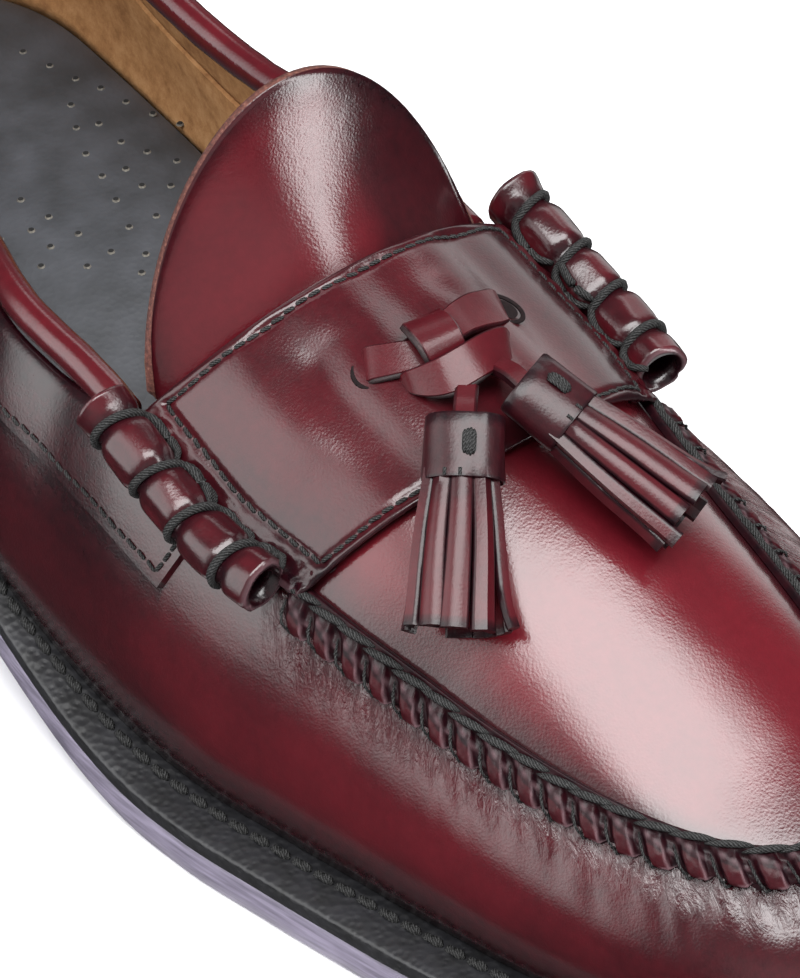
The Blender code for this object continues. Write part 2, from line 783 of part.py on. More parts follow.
half_length = OUTSOLE_LENGTH / 2
knot_x = KNOT_PLACE - half_length
knot_low, knot_up = top_of_strap(knot_x, KNOT_SIDE, GAP + 0.0002)
knot_centre = knot_low + knot_up * KNOT_RADIUS * 0.8
ahead = Vector((1, 0, 0))
ahead = (ahead - knot_up * ahead.dot(knot_up)).normalized()
sideways = knot_up.cross(ahead)
lace_knot = new_object("lace_knot", ball_mesh("lace_knot", knot_centre,
                                              (KNOT_RADIUS, KNOT_RADIUS * 1.15, KNOT_RADIUS * 0.8),
                                              (ahead, sideways, knot_up)), BURGUNDY_EDGE)
slots = []
for label, side in (("outer", -1), ("inner", 1)):
    slot_x = SLOT_PLACE - half_length
    slot_y = KNOT_SIDE * 0.5 + side * SLOT_SPREAD
    seat, slot_up = top_of_strap(slot_x, slot_y, -0.0010)
    over, _ = top_of_strap(slot_x + 0.0012, slot_y - side * 0.0026, LACE_THICKNESS / 2 + 0.0014)
    path = [seat, seat.lerp(over, 0.42) + slot_up * 0.0012, over,
            over.lerp(knot_centre, 0.5) + knot_up * 0.0006, knot_centre]
    fuse(lace_knot, "lace_strip_" + label, strip_mesh("lace_strip_" + label, path, Vector((1, 0, -0.2)),
                                                      LACE_WIDTH, LACE_THICKNESS))
    slots.append((label, seat, slot_up))
band = []
for k in range(7):
    angle = math.pi * (k / 6 - 0.5)
    band.append(knot_centre + ahead * KNOT_RADIUS * 0.55 + sideways * math.sin(angle) * KNOT_RADIUS * 1.55
                + knot_up * (math.cos(angle) * KNOT_RADIUS * 0.95 - KNOT_RADIUS * 0.25))
fuse(lace_knot, "lace_band", strip_mesh("lace_band", band, ahead, LACE_WIDTH, LACE_THICKNESS))

for label, seat, slot_up in slots:
    bm = bmesh.new()
    bmesh.ops.create_cube(bm, size=1.0)
    turn = Matrix((Vector((1, 0, -0.25)).normalized(), slot_up.cross(Vector((1, 0, -0.25))).normalized(),
                   slot_up)).transposed()
    for vert in bm.verts:
        vert.co = seat + turn @ Vector((vert.co.x * SLOT_LENGTH, vert.co.y * SLOT_WIDTH, vert.co.z * 0.009))
    bmesh.ops.recalc_face_normals(bm, faces=bm.faces)
    mesh = bpy.data.meshes.new("slot_" + label)
    bm.to_mesh(mesh)
    bm.free()
    cutter = new_object("slot_" + label, mesh, BURGUNDY, cutters)
    cutter.hide_render = True
    cutter.display_type = "WIRE"
    cut = saddle_strap.modifiers.new("slot_" + label, "BOOLEAN")
    cut.operation = "DIFFERENCE"
    cut.solver = "EXACT"
    cut.object = cutter


# Tassels: a rolled leather cap with a fringe of cut strips under it
def tassel(name, top, tip, face):
    axis = (tip - top).normalized()
    out = (face - axis * face.dot(axis)).normalized()
    across = axis.cross(out).normalized()

    def section(distance, width, depth, count=14):
        return [top + axis * distance + across * math.cos(2 * math.pi * k / count) * width / 2
                + out * math.sin(2 * math.pi * k / count) * depth / 2 for k in range(count)]

    depth = CAP_WIDTH * TASSEL_FLATNESS * 1.15
    rings = [section(0.0, CAP_WIDTH * 0.90, depth * 0.86), section(0.0006, CAP_WIDTH * 0.98, depth * 0.96),
             section(CAP_LENGTH * 0.5, CAP_WIDTH, depth), section(CAP_LENGTH, CAP_WIDTH * 1.02, depth * 1.02),
             section(CAP_LENGTH + 0.0002, CAP_WIDTH * 0.84, depth * 0.80),
             section(CAP_LENGTH + FRINGE_LENGTH * 0.8, FRINGE_WIDTH * 0.62, depth * 0.66)]
    body = new_object(name, skin(name, rings, caps=(True, True)), BURGUNDY_EDGE)
    for k in range(FRINGE_STRIPS):
        angle = 2 * math.pi * (k + 0.5) / FRINGE_STRIPS
        path = []
        for share in (0.0, 0.35, 0.7, 1.0):
            spread = share ** 1.4
            width = (CAP_WIDTH * 0.86 + (FRINGE_WIDTH - CAP_WIDTH * 0.86) * spread) / 2 - STRIP_THICKNESS / 2
            deep = width * (TASSEL_FLATNESS * 1.08)
            length = FRINGE_LENGTH * (1 - 0.05 * ((k * 3) % 4) / 3)
            path.append(top + axis * (CAP_LENGTH - 0.0012 + (length + 0.0012) * share)
                        + across * math.cos(angle) * width + out * math.sin(angle) * deep)
        wide = across * -math.sin(angle) + out * math.cos(angle) * TASSEL_FLATNESS
        fuse(body, name + "_strip_%02d" % (k + 1),
             strip_mesh(name + "_strip_%02d" % (k + 1), path, wide, STRIP_WIDTH, STRIP_THICKNESS))
    finish(body, 30)
    return body, axis


def stem(name, start, end, face):
    middle = start.lerp(end, 0.5) + face * 0.0006
    fuse(lace_knot, name, strip_mesh(name, [start, middle, end], knot_up.cross(end - start), STEM_WIDTH,
                                     LACE_THICKNESS * 1.4))


for label, place, turn_to, drop, rise, start_side in (
        ("outer", (KNOT_PLACE + 0.0125, -0.0092), (0.0196, -0.0172), -0.0185, 0.0066, -0.35),
        ("inner", (KNOT_PLACE + 0.0125, 0.0012), (0.0250, 0.0104), -0.0138, 0.0072, 0.35)):
    low, up = top_of_strap(place[0] - half_length, place[1], 0.0)
    top = low + up * rise
    direction = Vector((turn_to[0], turn_to[1], drop)).normalized()
    tip = top + direction * (CAP_LENGTH + FRINGE_LENGTH)
    face = up
    tassel("tassel_" + label, top, tip, face)
    start = knot_centre + ahead * KNOT_RADIUS * 0.6 + sideways * KNOT_RADIUS * start_side
    stem("lace_stem_" + label, start, top - direction * STEM_GAP, up)
finish(lace_knot, 30)
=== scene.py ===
import math
import random
from math import cos, exp, pi, radians, sin, sqrt
import bmesh
import bpy
from mathutils import Matrix, Vector, noise


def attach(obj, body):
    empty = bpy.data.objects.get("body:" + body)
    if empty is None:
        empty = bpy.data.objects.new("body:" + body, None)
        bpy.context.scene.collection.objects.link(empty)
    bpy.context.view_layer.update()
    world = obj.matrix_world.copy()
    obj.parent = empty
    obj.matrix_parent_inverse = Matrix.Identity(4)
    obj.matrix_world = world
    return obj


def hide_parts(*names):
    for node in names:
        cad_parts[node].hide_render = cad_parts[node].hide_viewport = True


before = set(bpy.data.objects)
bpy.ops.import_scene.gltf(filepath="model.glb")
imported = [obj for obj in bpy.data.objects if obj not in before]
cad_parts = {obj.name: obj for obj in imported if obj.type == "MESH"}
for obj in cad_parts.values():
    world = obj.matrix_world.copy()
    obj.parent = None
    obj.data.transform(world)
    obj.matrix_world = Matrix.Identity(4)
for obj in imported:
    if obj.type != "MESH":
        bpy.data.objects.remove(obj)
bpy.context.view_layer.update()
mm = 0.001
print("frame loaded")

# the photo's view: angles in degrees, lengths in metres, picture height in pixels, sensor height in mm
camera = dict(azimuth=55.85, elevation=42.18, roll=-3.85, pixelsPerMm=6.46, distance=0.91608,
              target=(0.0321, -0.00538, 0.050), picture=978, sensor=24)


def placeCamera(c):
    a, e, r = (radians(c[k]) for k in ("azimuth", "elevation", "roll"))
    back = Vector((sin(a) * cos(e), -cos(a) * cos(e), sin(e)))
    right = Vector((cos(a), sin(a), 0))
    up = back.cross(right)
    turned = right * cos(r) + up * sin(r)
    upright = -right * sin(r) + up * cos(r)
    data = bpy.data.cameras.new("photoCamera")
    data.sensor_fit = "VERTICAL"
    data.sensor_height = c["sensor"]
    data.lens = c["pixelsPerMm"] * 1000 * c["distance"] / c["picture"] * c["sensor"]
    data.clip_start = 0.02
    data.clip_end = 20
    obj = bpy.data.objects.new("photoCamera", data)
    place = Matrix((turned, upright, back)).transposed().to_4x4()
    place.translation = Vector(c["target"]) + back * c["distance"]
    obj.matrix_world = place
    bpy.context.scene.collection.objects.link(obj)
    bpy.context.scene.camera = obj


placeCamera(camera)
print("camera placed")

# the last: lengths in metres, tables as shares of them, a row for each station from heel to toe
last = dict(length=0.300, ball=0.107, heelWidth=0.070, heelHeight=0.022, toeSpring=0.010, outsole=0.0065,
            welt=0.003, reach=0.0078, waistReach=0.0035, backHeight=0.088, instep=0.0815, seamToe=0.040,
            opening=0.072, plug=0.074, seamBack=0.023, collarBack=0.008, beadHeight=0.0060,
            beadEnd=0.535, seamStart=0.692, throat=0.620, gap=0.0003, shift=0.0030, wall=0.002)
halfLength, plugHalf = last["length"] / 2, last["plug"] / 2
rimSpan = last["length"] - last["seamBack"] - last["collarBack"]
outlineRows = dict(
    station=(0.00, 0.12, 0.25, 0.35, 0.45, 0.55, 0.62, 0.68, 0.74, 0.80, 0.90, 1.00),
    outer=(0.327, 0.331, 0.370, 0.450, 0.529, 0.547, 0.531, 0.498, 0.468, 0.448, 0.436, 0.430),
    inner=(0.327, 0.322, 0.308, 0.290, 0.300, 0.365, 0.430, 0.477, 0.500, 0.505, 0.520, 0.540))
soleRows = dict(
    station=(0.00, 0.24, 0.30, 0.38, 0.46, 0.54, 0.60, 0.74, 0.80, 0.90, 1.00),
    heel=(1.00, 0.975, 0.910, 0.680, 0.370, 0.110, 0.00, 0.00, 0.00, 0.00, 0.00),
    spring=(0.00, 0.00, 0.00, 0.00, 0.00, 0.00, 0.00, 0.00, 0.06, 0.40, 1.00))
rimRows = dict(
    station=(0.00, 0.14, 0.25, 0.35, 0.43, 0.50, 0.57, 0.64, 0.72, 0.80, 0.90, 1.00),
    opening=(0.760, 0.765, 0.790, 0.860, 0.930, 0.500, 0.00, 0.00, 0.00, 0.00, 0.00, 0.00),
    plug=(0.00, 0.00, 0.00, 0.00, 0.040, 0.460, 0.960, 0.965, 0.890, 0.835, 0.825, 0.830),
    shift=(0.00, -0.012, -0.020, -0.035, -0.046, -0.044, -0.038, -0.036, -0.035, -0.021, 0.002, 0.022),
    back=(1.00, 0.875, 0.560, 0.440, 0.420, 0.390, 0.315, 0.225, 0.160, 0.085, 0.025, 0.00),
    toe=(0.00, 0.02, 0.50, 0.73, 0.80, 0.82, 0.86, 0.90, 0.97, 1.00, 1.00, 1.00))
crestRows = dict(
    station=(0.40, 0.50, 0.56, 0.62, 0.70, 0.78, 0.86, 0.94, 1.00),
    height=(1.120, 1.080, 1.020, 0.970, 0.910, 0.820, 0.700, 0.570, 0.492),
    fullness=(1.05, 1.05, 1.05, 1.02, 0.96, 0.86, 0.78, 0.74, 0.74))
bulgeRows = dict(
    station=(0.00, 0.14, 0.30, 0.45, 0.60, 0.72, 0.86, 1.00),
    out=(0.070, 0.050, 0.020, 0.030, 0.055, 0.060, 0.062, 0.066),
    height=(0.400, 0.420, 0.450, 0.480, 0.520, 0.560, 0.600, 0.620))

slopeStore = {}


def read(table, column, station):
    xs, ys = table["station"], table[column]
    if station <= xs[0]:
        return ys[0]
    if station >= xs[-1]:
        return ys[-1]
    key = (id(table), column)
    if key not in slopeStore:
        steps = [b - a for a, b in zip(xs, xs[1:])]
        rates = [(d - c) / h for c, d, h in zip(ys, ys[1:], steps)]
        slopes = [rates[0]]
        for j in range(1, len(xs) - 1):
            if rates[j - 1] * rates[j] <= 0:
                slopes.append(0.0)
            else:
                a = 2 * steps[j] + steps[j - 1]
                b = steps[j] + 2 * steps[j - 1]
                slopes.append((a + b) / (a / rates[j - 1] + b / rates[j]))
        slopes.append(rates[-1])
        slopeStore[key] = (steps, slopes)
    steps, slopes = slopeStore[key]
    i = 0
    while station > xs[i + 1]:
        i += 1
    t = (station - xs[i]) / steps[i]
    return ((2 * t ** 3 - 3 * t ** 2 + 1) * ys[i] + (t ** 3 - 2 * t ** 2 + t) * slopes[i] * steps[i]
            + (3 * t ** 2 - 2 * t ** 3) * ys[i + 1] + (t ** 3 - t ** 2) * slopes[i + 1] * steps[i])


def roundEnds(station, heel=0.12, toe=0.66, power=2.25):
    h = min(1.0, max(0.0, (heel - station) / heel))
    t = min(1.0, max(0.0, (station - toe) / (1 - toe)))
    return (1 - h ** power) ** (1 / power) * (1 - t ** power) ** (1 / power)


def smooth(x):
    x = min(1.0, max(0.0, x))
    return x * x * (3 - 2 * x)


def bell(x):
    return exp(-x ** 2)


def outlineAt(station, side, inset=0.0):
    x = inset + station * (last["length"] - 2 * inset)
    half = read(outlineRows, "outer" if side < 0 else "inner", station) * last["ball"]
    if station < 0.3:
        half += (0.5 * last["heelWidth"] - 0.327 * last["ball"]) * (1 - station / 0.3)
    return x - halfLength, side * max(0.0, half - inset) * roundEnds(station)


def insetPoint(station, side, inset):
    x = inset + station * (last["length"] - 2 * inset) - halfLength
    return x, outlineAt(station, side)[1] - side * inset * roundEnds(station)


def soleLine(x):
    s = (x + halfLength) / last["length"]
    return read(soleRows, "heel", s) * last["heelHeight"] + read(soleRows, "spring", s) * last["toeSpring"]


def weltTop(x):
    return soleLine(x) + last["outsole"] + last["gap"] + last["welt"]


def reachAt(station):
    return last["waistReach"] + (last["reach"] - last["waistReach"]) * smooth((station - 0.36) / 0.26)


def featherAt(station, side):
    span = last["length"] - last["waistReach"] - last["reach"]
    x = last["waistReach"] + station * span - halfLength
    y = outlineAt(station, side)[1] - side * reachAt(station) * roundEnds(station)
    return Vector((x, y, weltTop(x) + last["gap"]))


def rimX(station):
    return last["collarBack"] + station * rimSpan - halfLength


def rimStation(x):
    return min(1.0, max(0.0, (x + halfLength - last["collarBack"]) / rimSpan))


def rimAt(station, side):
    half = 0.5 * (read(rimRows, "opening", station) * last["opening"]
                  + read(rimRows, "plug", station) * last["plug"])
    half *= roundEnds(station, 0.14, 0.68)
    return Vector((rimX(station), read(rimRows, "shift", station) * last["ball"] + side * half,
                   read(rimRows, "back", station) * last["backHeight"]
                   + read(rimRows, "toe", station) * last["seamToe"]))


def rimBase(station, side):
    point = rimAt(station, side)
    # the step hides in the bead
    point.z -= (last["beadHeight"] + last["gap"]) * (1 - smooth((station - 0.475) / 0.085))
    return point


def wallAt(station, side, t):
    low = featherAt(station, side)
    top = rimBase(station, side)
    out = read(bulgeRows, "out", station) * last["ball"]
    ends = (0.066 * station ** 6 - 0.070 * (1 - station) ** 6) * last["ball"]
    mid = Vector((low.x + ends, side * (abs(low.y) + out * roundEnds(station)),
                  low.z + read(bulgeRows, "height", station) * (top.z - low.z)))
    return low * (1 - t) ** 2 + mid * 2 * t * (1 - t) + top * t ** 2


def wallNormal(station, side, t):
    s0, s1 = max(0.0005, station - 0.004), min(0.9995, station + 0.004)
    t0, t1 = max(0.0, t - 0.02), min(1.0, t + 0.02)
    along = wallAt(s1, side, t) - wallAt(s0, side, t)
    rise = wallAt(station, side, t1) - wallAt(station, side, t0)
    normal = along.cross(rise) * (1 if side < 0 else -1)
    if normal.length < 1e-12:
        normal = Vector((1 if station > 0.5 else -1, 0, 0))
    return normal.normalized()


def crownAt(x, b):
    station = rimStation(x)
    base = rimAt(station, -1).lerp(rimAt(station, 1), (b + 1) / 2)
    crest = read(crestRows, "height", station) * last["instep"]
    lift = max(0.0, crest - base.z) * (1 - abs(b) ** 2.1) ** read(crestRows, "fullness", station)
    return Vector((x, base.y, base.z + lift))


def crownNormal(x, b):
    b0, b1 = max(-0.995, b - 0.02), min(0.995, b + 0.02)
    along = crownAt(x + 0.002, b) - crownAt(x - 0.002, b)
    return along.cross(crownAt(x, b1) - crownAt(x, b0)).normalized()


def crownOver(x, y):
    station = min(0.9999, rimStation(x))
    outer, inner = rimAt(station, -1).y, rimAt(station, 1).y
    b = min(0.999, max(-0.999, 2 * (y - outer) / max(1e-6, inner - outer) - 1))
    front = halfLength - last["seamBack"]
    return crownAt(x, b), crownNormal(min(x, front - 0.0025), b)


def linear(hexText):
    out = []
    for k in (0, 2, 4):
        v = int(hexText[k:k + 2], 16) / 255
        out.append(v / 12.92 if v <= 0.04045 else ((v + 0.055) / 1.055) ** 2.4)
    return (*out, 1.0)


def addNode(tree, kind, settings=None, links=None):
    made = tree.nodes.new(kind)
    for key, value in (settings or {}).items():
        if isinstance(key, str) and hasattr(made, key):
            setattr(made, key, value)
        else:
            made.inputs[key].default_value = value
    for key, source in (links or {}).items():
        tree.links.new(source, made.inputs[key])
    return made


def newMaterial(name, **sockets):
    made = bpy.data.materials.new(name)
    made.use_nodes = True
    shader = made.node_tree.nodes["Principled BSDF"]
    for key, value in sockets.items():
        shader.inputs[key.replace("_", " ")].default_value = value
    return made, made.node_tree, shader


def objectPlace(tree):
    return addNode(tree, "ShaderNodeTexCoord").outputs["Object"]


def attributeOf(tree, name):
    return addNode(tree, "ShaderNodeAttribute", {"attribute_name": name}).outputs["Fac"]


def uvOf(tree, name):
    return addNode(tree, "ShaderNodeUVMap", {"uv_map": name}).outputs[0]


def patternOf(tree, place, sizeMm, kind="Noise", **settings):
    made = addNode(tree, "ShaderNodeTex" + kind, {"Scale": 1000 / sizeMm, **settings}, {"Vector": place})
    return made.outputs["Fac" if kind == "Noise" else "Distance"]


def plugIn(tree, node, values):
    for key, value in values:
        if isinstance(value, bpy.types.NodeSocket):
            tree.links.new(value, node.inputs[key])
        else:
            node.inputs[key].default_value = value


def mathOf(tree, operation, *values):
    node = addNode(tree, "ShaderNodeMath", {"operation": operation})
    plugIn(tree, node, enumerate(values))
    return node.outputs[0]


def rangeOf(tree, source, low, high, start=0.0, stop=1.0, **settings):
    limits = {"From Min": low, "From Max": high, "To Min": start, "To Max": stop}
    return addNode(tree, "ShaderNodeMapRange", {**settings, **limits}, {"Value": source}).outputs[0]


def bumpOf(tree, height, strength, distance, below=None):
    links = {"Height": height}
    if below:
        links["Normal"] = below
    return addNode(tree, "ShaderNodeBump", {"Strength": strength, "Distance": distance}, links).outputs[0]


def ramp(tree, source, *stops):
    node = addNode(tree, "ShaderNodeValToRGB", {}, {"Fac": source})
    while len(node.color_ramp.elements) < len(stops):
        node.color_ramp.elements.new(0.5)
    for element, (place, color) in zip(node.color_ramp.elements, stops):
        element.position = place
        element.color = linear(color)
    return node.outputs["Color"]


def mixColor(tree, factor, a, b):
    node = addNode(tree, "ShaderNodeMix", {"data_type": "RGBA"})
    plugIn(tree, node, ((0, factor), (6, a), (7, b)))
    return node.outputs[2]


# polished box calf: pigment under a clear finish, darker toward edges and folds; its darkening attribute also
# carries painted shade and painted light
calf = dict(bright="58111A", deep="2E0A10", edge="12050A", raw="6E565B", creaseShade="0A0507",
            cloudMm=26.0, speckMm=1.6, poreMm=0.45, grainMm=0.5, waveMm=7.0)


def makeCalf(name, dark=0.0, rough=0.34, pucker=False, pale=False, coat=1.0, gloss=0.13):
    made, tree, shader = newMaterial(name, IOR=1.5, Roughness=rough, Specular_IOR_Level=0.08,
                                     Coat_Weight=coat, Coat_Roughness=gloss, Coat_IOR=1.5)
    place = objectPlace(tree)
    cloud = patternOf(tree, place, calf["cloudMm"], Detail=4.0, Roughness=0.55)
    speck = patternOf(tree, place, calf["speckMm"], Detail=3.0, Roughness=0.6)
    shift = mathOf(tree, "MULTIPLY_ADD", cloud, 0.60, -0.30 + dark)
    total = mathOf(tree, "ADD", attributeOf(tree, "darkeningAndPaintedShade"), shift)
    color = ramp(tree, total, (0.0, calf["bright"]), (0.5, calf["deep"]), (1.0, calf["edge"]))
    color = mixColor(tree, 0.12, color, ramp(tree, speck, (0.3, "000000"), (0.7, calf["bright"])))
    if pale:  # raw fibre that shows along cut and folded edges
        color = mixColor(tree, attributeOf(tree, "pale"), color, linear(calf["raw"]))
    grain = patternOf(tree, place, calf["grainMm"], Detail=4.0, Roughness=0.6)
    pores = patternOf(tree, place, calf["poreMm"], "Voronoi", feature="F1")
    waves = patternOf(tree, place, calf["waveMm"], Detail=2.0, Roughness=0.5)
    bump = bumpOf(tree, grain, 0.26, 0.00008)
    bump = bumpOf(tree, pores, 0.12, 0.00010, bump)
    bump = bumpOf(tree, waves, 0.10, 0.0006, bump)
    if pucker:  # gathers under the raised seam: folds across it that fade away from it, with painted shade in their depths
        scaled = addNode(tree, "ShaderNodeMapping", {"Scale": (0.62, 0.24, 1.0)},
                         {"Vector": uvOf(tree, "seamMm")})
        folds = patternOf(tree, scaled.outputs[0], 1000.0, Detail=4.0, Roughness=0.62, Distortion=1.4)
        fade = attributeOf(tree, "gather")
        bump = bumpOf(tree, mathOf(tree, "MULTIPLY", folds, fade), 1.0, 0.0009, bump)
        hollow = rangeOf(tree, folds, 0.50, 0.36, 0.0, 0.85)
        shade = mathOf(tree, "MULTIPLY", hollow, mathOf(tree, "POWER", fade, 3.0))
        color = mixColor(tree, shade, color, linear(calf["creaseShade"]))
    tree.links.new(color, shader.inputs["Base Color"])
    tree.links.new(bump, shader.inputs["Normal"])
    tree.links.new(bump, shader.inputs["Coat Normal"])
    tree.links.new(rangeOf(tree, grain, 0.3, 0.7, rough - 0.05, rough + 0.07), shader.inputs["Roughness"])
    return made


# glassy burgundy of wall, plug, bead and tongue, and the duller strap, rolls, lace and cut lip of the seam
burgundyCalf = makeCalf("polishedBurgundyCalf", pucker=True)
darkCalf = makeCalf("burnishedDarkCalf", dark=0.22, rough=0.30)
seamLeather = makeCalf("gatheredLipCalf", dark=0.12, rough=0.42, pale=True, coat=0.14, gloss=0.30)
strapLeather = makeCalf("polishedStrapCalf", dark=0.32, rough=0.36, pale=True, coat=0.85, gloss=0.15)
rollLeather = makeCalf("rolledStrapCalf", dark=0.06, rough=0.36, pale=True, coat=0.9, gloss=0.16)
laceLeather = makeCalf("softLaceCalf", dark=0.16, rough=0.46, coat=0.5, gloss=0.24)


def plainFinish(name, pattern, stops, relief=None, nap=None, stretch=None, **sockets):
    made, tree, shader = newMaterial(name, **sockets)
    place = objectPlace(tree)
    if stretch:
        place = addNode(tree, "ShaderNodeMapping", {"Scale": stretch}, {"Vector": place}).outputs[0]
    mottle = patternOf(tree, place, **pattern)
    tree.links.new(ramp(tree, mottle, *stops), shader.inputs["Base Color"])
    if relief:
        height = patternOf(tree, place, **nap) if nap else mottle
        tree.links.new(bumpOf(tree, height, *relief), shader.inputs["Normal"])
    return made


# suede lining: napped flesh side, matt and light tan, with a soft mottle
tanSuede = plainFinish("tanSuedeLining", dict(sizeMm=4.0, Detail=6.0, Roughness=0.7),
                       ((0.25, "80583A"), (0.5, "AB7F55"), (0.8, "C69D72")), (0.55, 0.0003),
                       dict(sizeMm=0.5, Detail=4.0, Roughness=0.7), IOR=1.45, Roughness=0.95,
                       Specular_IOR_Level=0.15)
# raw cut edge of the leather: pale brown fibres
rawEdge = plainFinish("rawLeatherEdge", dict(sizeMm=0.6, Detail=5.0, Roughness=0.7),
                      ((0.3, "2E1513"), (0.55, "5A322A"), (0.8, "8A6152")), (0.5, 0.0002), IOR=1.45,
                      Roughness=0.8)
# dyed and waxed dark edge of the strap and the lace
dyedEdge = plainFinish("dyedLeatherEdge", dict(sizeMm=0.7, Detail=5.0, Roughness=0.7),
                       ((0.3, "120A0B"), (0.6, "241214"), (0.85, "482E2D")), (0.5, 0.0002), IOR=1.45,
                       Roughness=0.6)
# smooth lining leather of the insole: charcoal, half matt
charcoalSock = plainFinish("charcoalSockLeather", dict(sizeMm=9.0, Detail=4.0),
                           ((0.3, "282A2D"), (0.7, "3C3E43")), (0.28, 0.0002),
                           dict(sizeMm=1.1, kind="Voronoi"), IOR=1.5, Roughness=0.5, Coat_Weight=0.15,
                           Coat_Roughness=0.35)
# dark welt: grained leather, dull
darkWelt = plainFinish("darkGrainedWelt", dict(sizeMm=5.0, Detail=4.0), ((0.3, "0C0C0E"), (0.7, "1B1B1F")),
                       (0.6, 0.00035), dict(sizeMm=1.3, kind="Voronoi", feature="SMOOTH_F1", Smoothness=0.6),
                       IOR=1.5, Roughness=0.5, Coat_Weight=0.2, Coat_Roughness=0.3)
# burnished sole edge: waxed leather in fine layers, half glossy; its lilac grey is partly its own tone and
# partly painted reflection of the pale floor
soleEdge = plainFinish("burnishedSoleEdgeWithPaintedReflection", dict(sizeMm=2.2, Detail=3.0), ((0.3, "5A5563"), (0.7, "817A8C")),
                       (0.15, 0.0002), stretch=(0.25, 0.25, 3.0), IOR=1.5, Roughness=0.4, Coat_Weight=0.5,
                       Coat_Roughness=0.2)
# heel top piece: moulded rubber, matt with a fine stipple
heelRubber = plainFinish("mouldedHeelRubber", dict(sizeMm=0.8, Detail=3.0),
                         ((0.3, "161616"), (0.7, "242424")), (0.4, 0.0002), IOR=1.5, Roughness=0.75)
# dark, rough cut edge of a slot in the strap, and painted shade on the disc that stands for the slot's
# opening
slotEdgeAndShade = plainFinish("slotEdgeAndPaintedShade", dict(sizeMm=0.5, Detail=4.0), ((0.3, "080405"), (0.7, "1C0F10")),
                        Roughness=0.85, Specular_IOR_Level=0.2)
# punched rim of the insole's holes: the leather's lighter cut edge
punchedRim = plainFinish("punchedHoleRim", dict(sizeMm=0.4, Detail=3.0), ((0.3, "4A4844"), (0.7, "7C786F")),
                         Roughness=0.7)
# inside of a punched hole: near black
holeShade, tree, shader = newMaterial("punchedHoleShade", Roughness=0.9)
shader.inputs["Base Color"].default_value = linear("0C0C0D")

# waxed thread: dark grey twisted plies with a dull sheen, along its own UV
greyThread, tree, shader = newMaterial("waxedGreyThread", IOR=1.5, Roughness=0.62, Specular_IOR_Level=0.28)
ply = addNode(tree, "ShaderNodeTexWave", {"wave_type": "BANDS", "bands_direction": "DIAGONAL", "Scale": 1.0,
                                          "Distortion": 3.2, "Detail": 3.0, "Detail Scale": 2.5},
              {"Vector": uvOf(tree, "threadMm")}).outputs["Fac"]
both = mathOf(tree, "MULTIPLY_ADD", ply, 0.6, patternOf(tree, objectPlace(tree), 0.4, Detail=4.0))
tree.links.new(ramp(tree, both, (0.35, "070707"), (0.75, "171717"), (1.0, "383838")),
               shader.inputs["Base Color"])
tree.links.new(bumpOf(tree, both, 0.8, 0.0003), shader.inputs["Normal"])
print("materials made")


def gridInto(bm, rows, columns, place, wrapRows=False, wrapColumns=False, uv=None, values=None):
    values = values or {}
    for name in values:  # layers come first: a new one makes older references stale
        if bm.verts.layers.float.get(name) is None:
            bm.verts.layers.float.new(name)
    if uv and bm.loops.layers.uv.get(uv[0]) is None:
        bm.loops.layers.uv.new(uv[0])
    made = bmesh.ops.create_grid(bm, x_segments=rows, y_segments=columns, size=1.0)["verts"]
    marks = {v: (round((v.co.x + 1) / 2 * rows), round((v.co.y + 1) / 2 * columns)) for v in made}
    faces = {face for v in made for face in v.link_faces}
    if uv:
        uvLayer = bm.loops.layers.uv.get(uv[0])
        for face in faces:
            for loop in face.loops:
                loop[uvLayer].uv = uv[1](*marks[loop.vert])
    for name, value in values.items():
        layer = bm.verts.layers.float.get(name)
        for v, (i, j) in marks.items():
            v[layer] = value(i, j)
    for face in faces:
        face.smooth = True
    for v, (i, j) in marks.items():
        v.co = place(i, j)
    edge = [v for v, (i, j) in marks.items()
            if (wrapRows and i in (0, rows)) or (wrapColumns and j in (0, columns))]
    if edge:
        bmesh.ops.remove_doubles(bm, verts=edge, dist=1e-7)
    return marks


def ringsInto(bm, rings, loop=False, caps=True, uv=None, values=None):
    count = len(rings[0])
    rows = len(rings) if loop else len(rings) - 1
    start = len(bm.verts)
    gridInto(bm, rows, count, lambda i, j: rings[i % len(rings)][j % count], loop, True, uv, values)
    bm.verts.ensure_lookup_table()
    made = bm.verts[start:]
    if caps and not loop:
        edges = {e for v in made for e in v.link_edges if e.is_boundary}
        bmesh.ops.holes_fill(bm, edges=list(edges), sides=0)
    faces = {face for v in made for face in v.link_faces}
    bmesh.ops.recalc_face_normals(bm, faces=list(faces))


def frames(path, hint):
    out = []
    for k, point in enumerate(path):
        axis = (path[min(k + 1, len(path) - 1)] - path[max(k - 1, 0)]).normalized()
        up = hint(k) if callable(hint) else hint
        across = axis.cross(up)
        if across.length < 1e-6:
            across = axis.orthogonal()
        across.normalize()
        out.append((point, axis, across, across.cross(axis).normalized()))
    return out


def threadInto(bm, path, radius, sides=8, flatten=1.0, hint=Vector((0, 0, 1)), ends=0.25):
    thick = radius if callable(radius) else lambda share: radius
    run = [0.0]
    for a, b in zip(path, path[1:]):
        run.append(run[-1] + (b - a).length * 1000)
    rings = []
    for k, (point, axis, across, up) in enumerate(frames(path, hint)):
        share = run[k] / max(run[-1], 1e-9)
        near = min(share, 1 - share)
        size = thick(share) * (ends + (1 - ends) * min(1.0, near / 0.18) ** 0.5)
        rings.append([point + across * cos(2 * pi * n / sides) * size
                      + up * sin(2 * pi * n / sides) * size * flatten for n in range(sides)])
    ringsInto(bm, rings, uv=("threadMm", lambda i, j: (run[i], j * 2 * pi * thick(0.5) * 1000 / sides)))


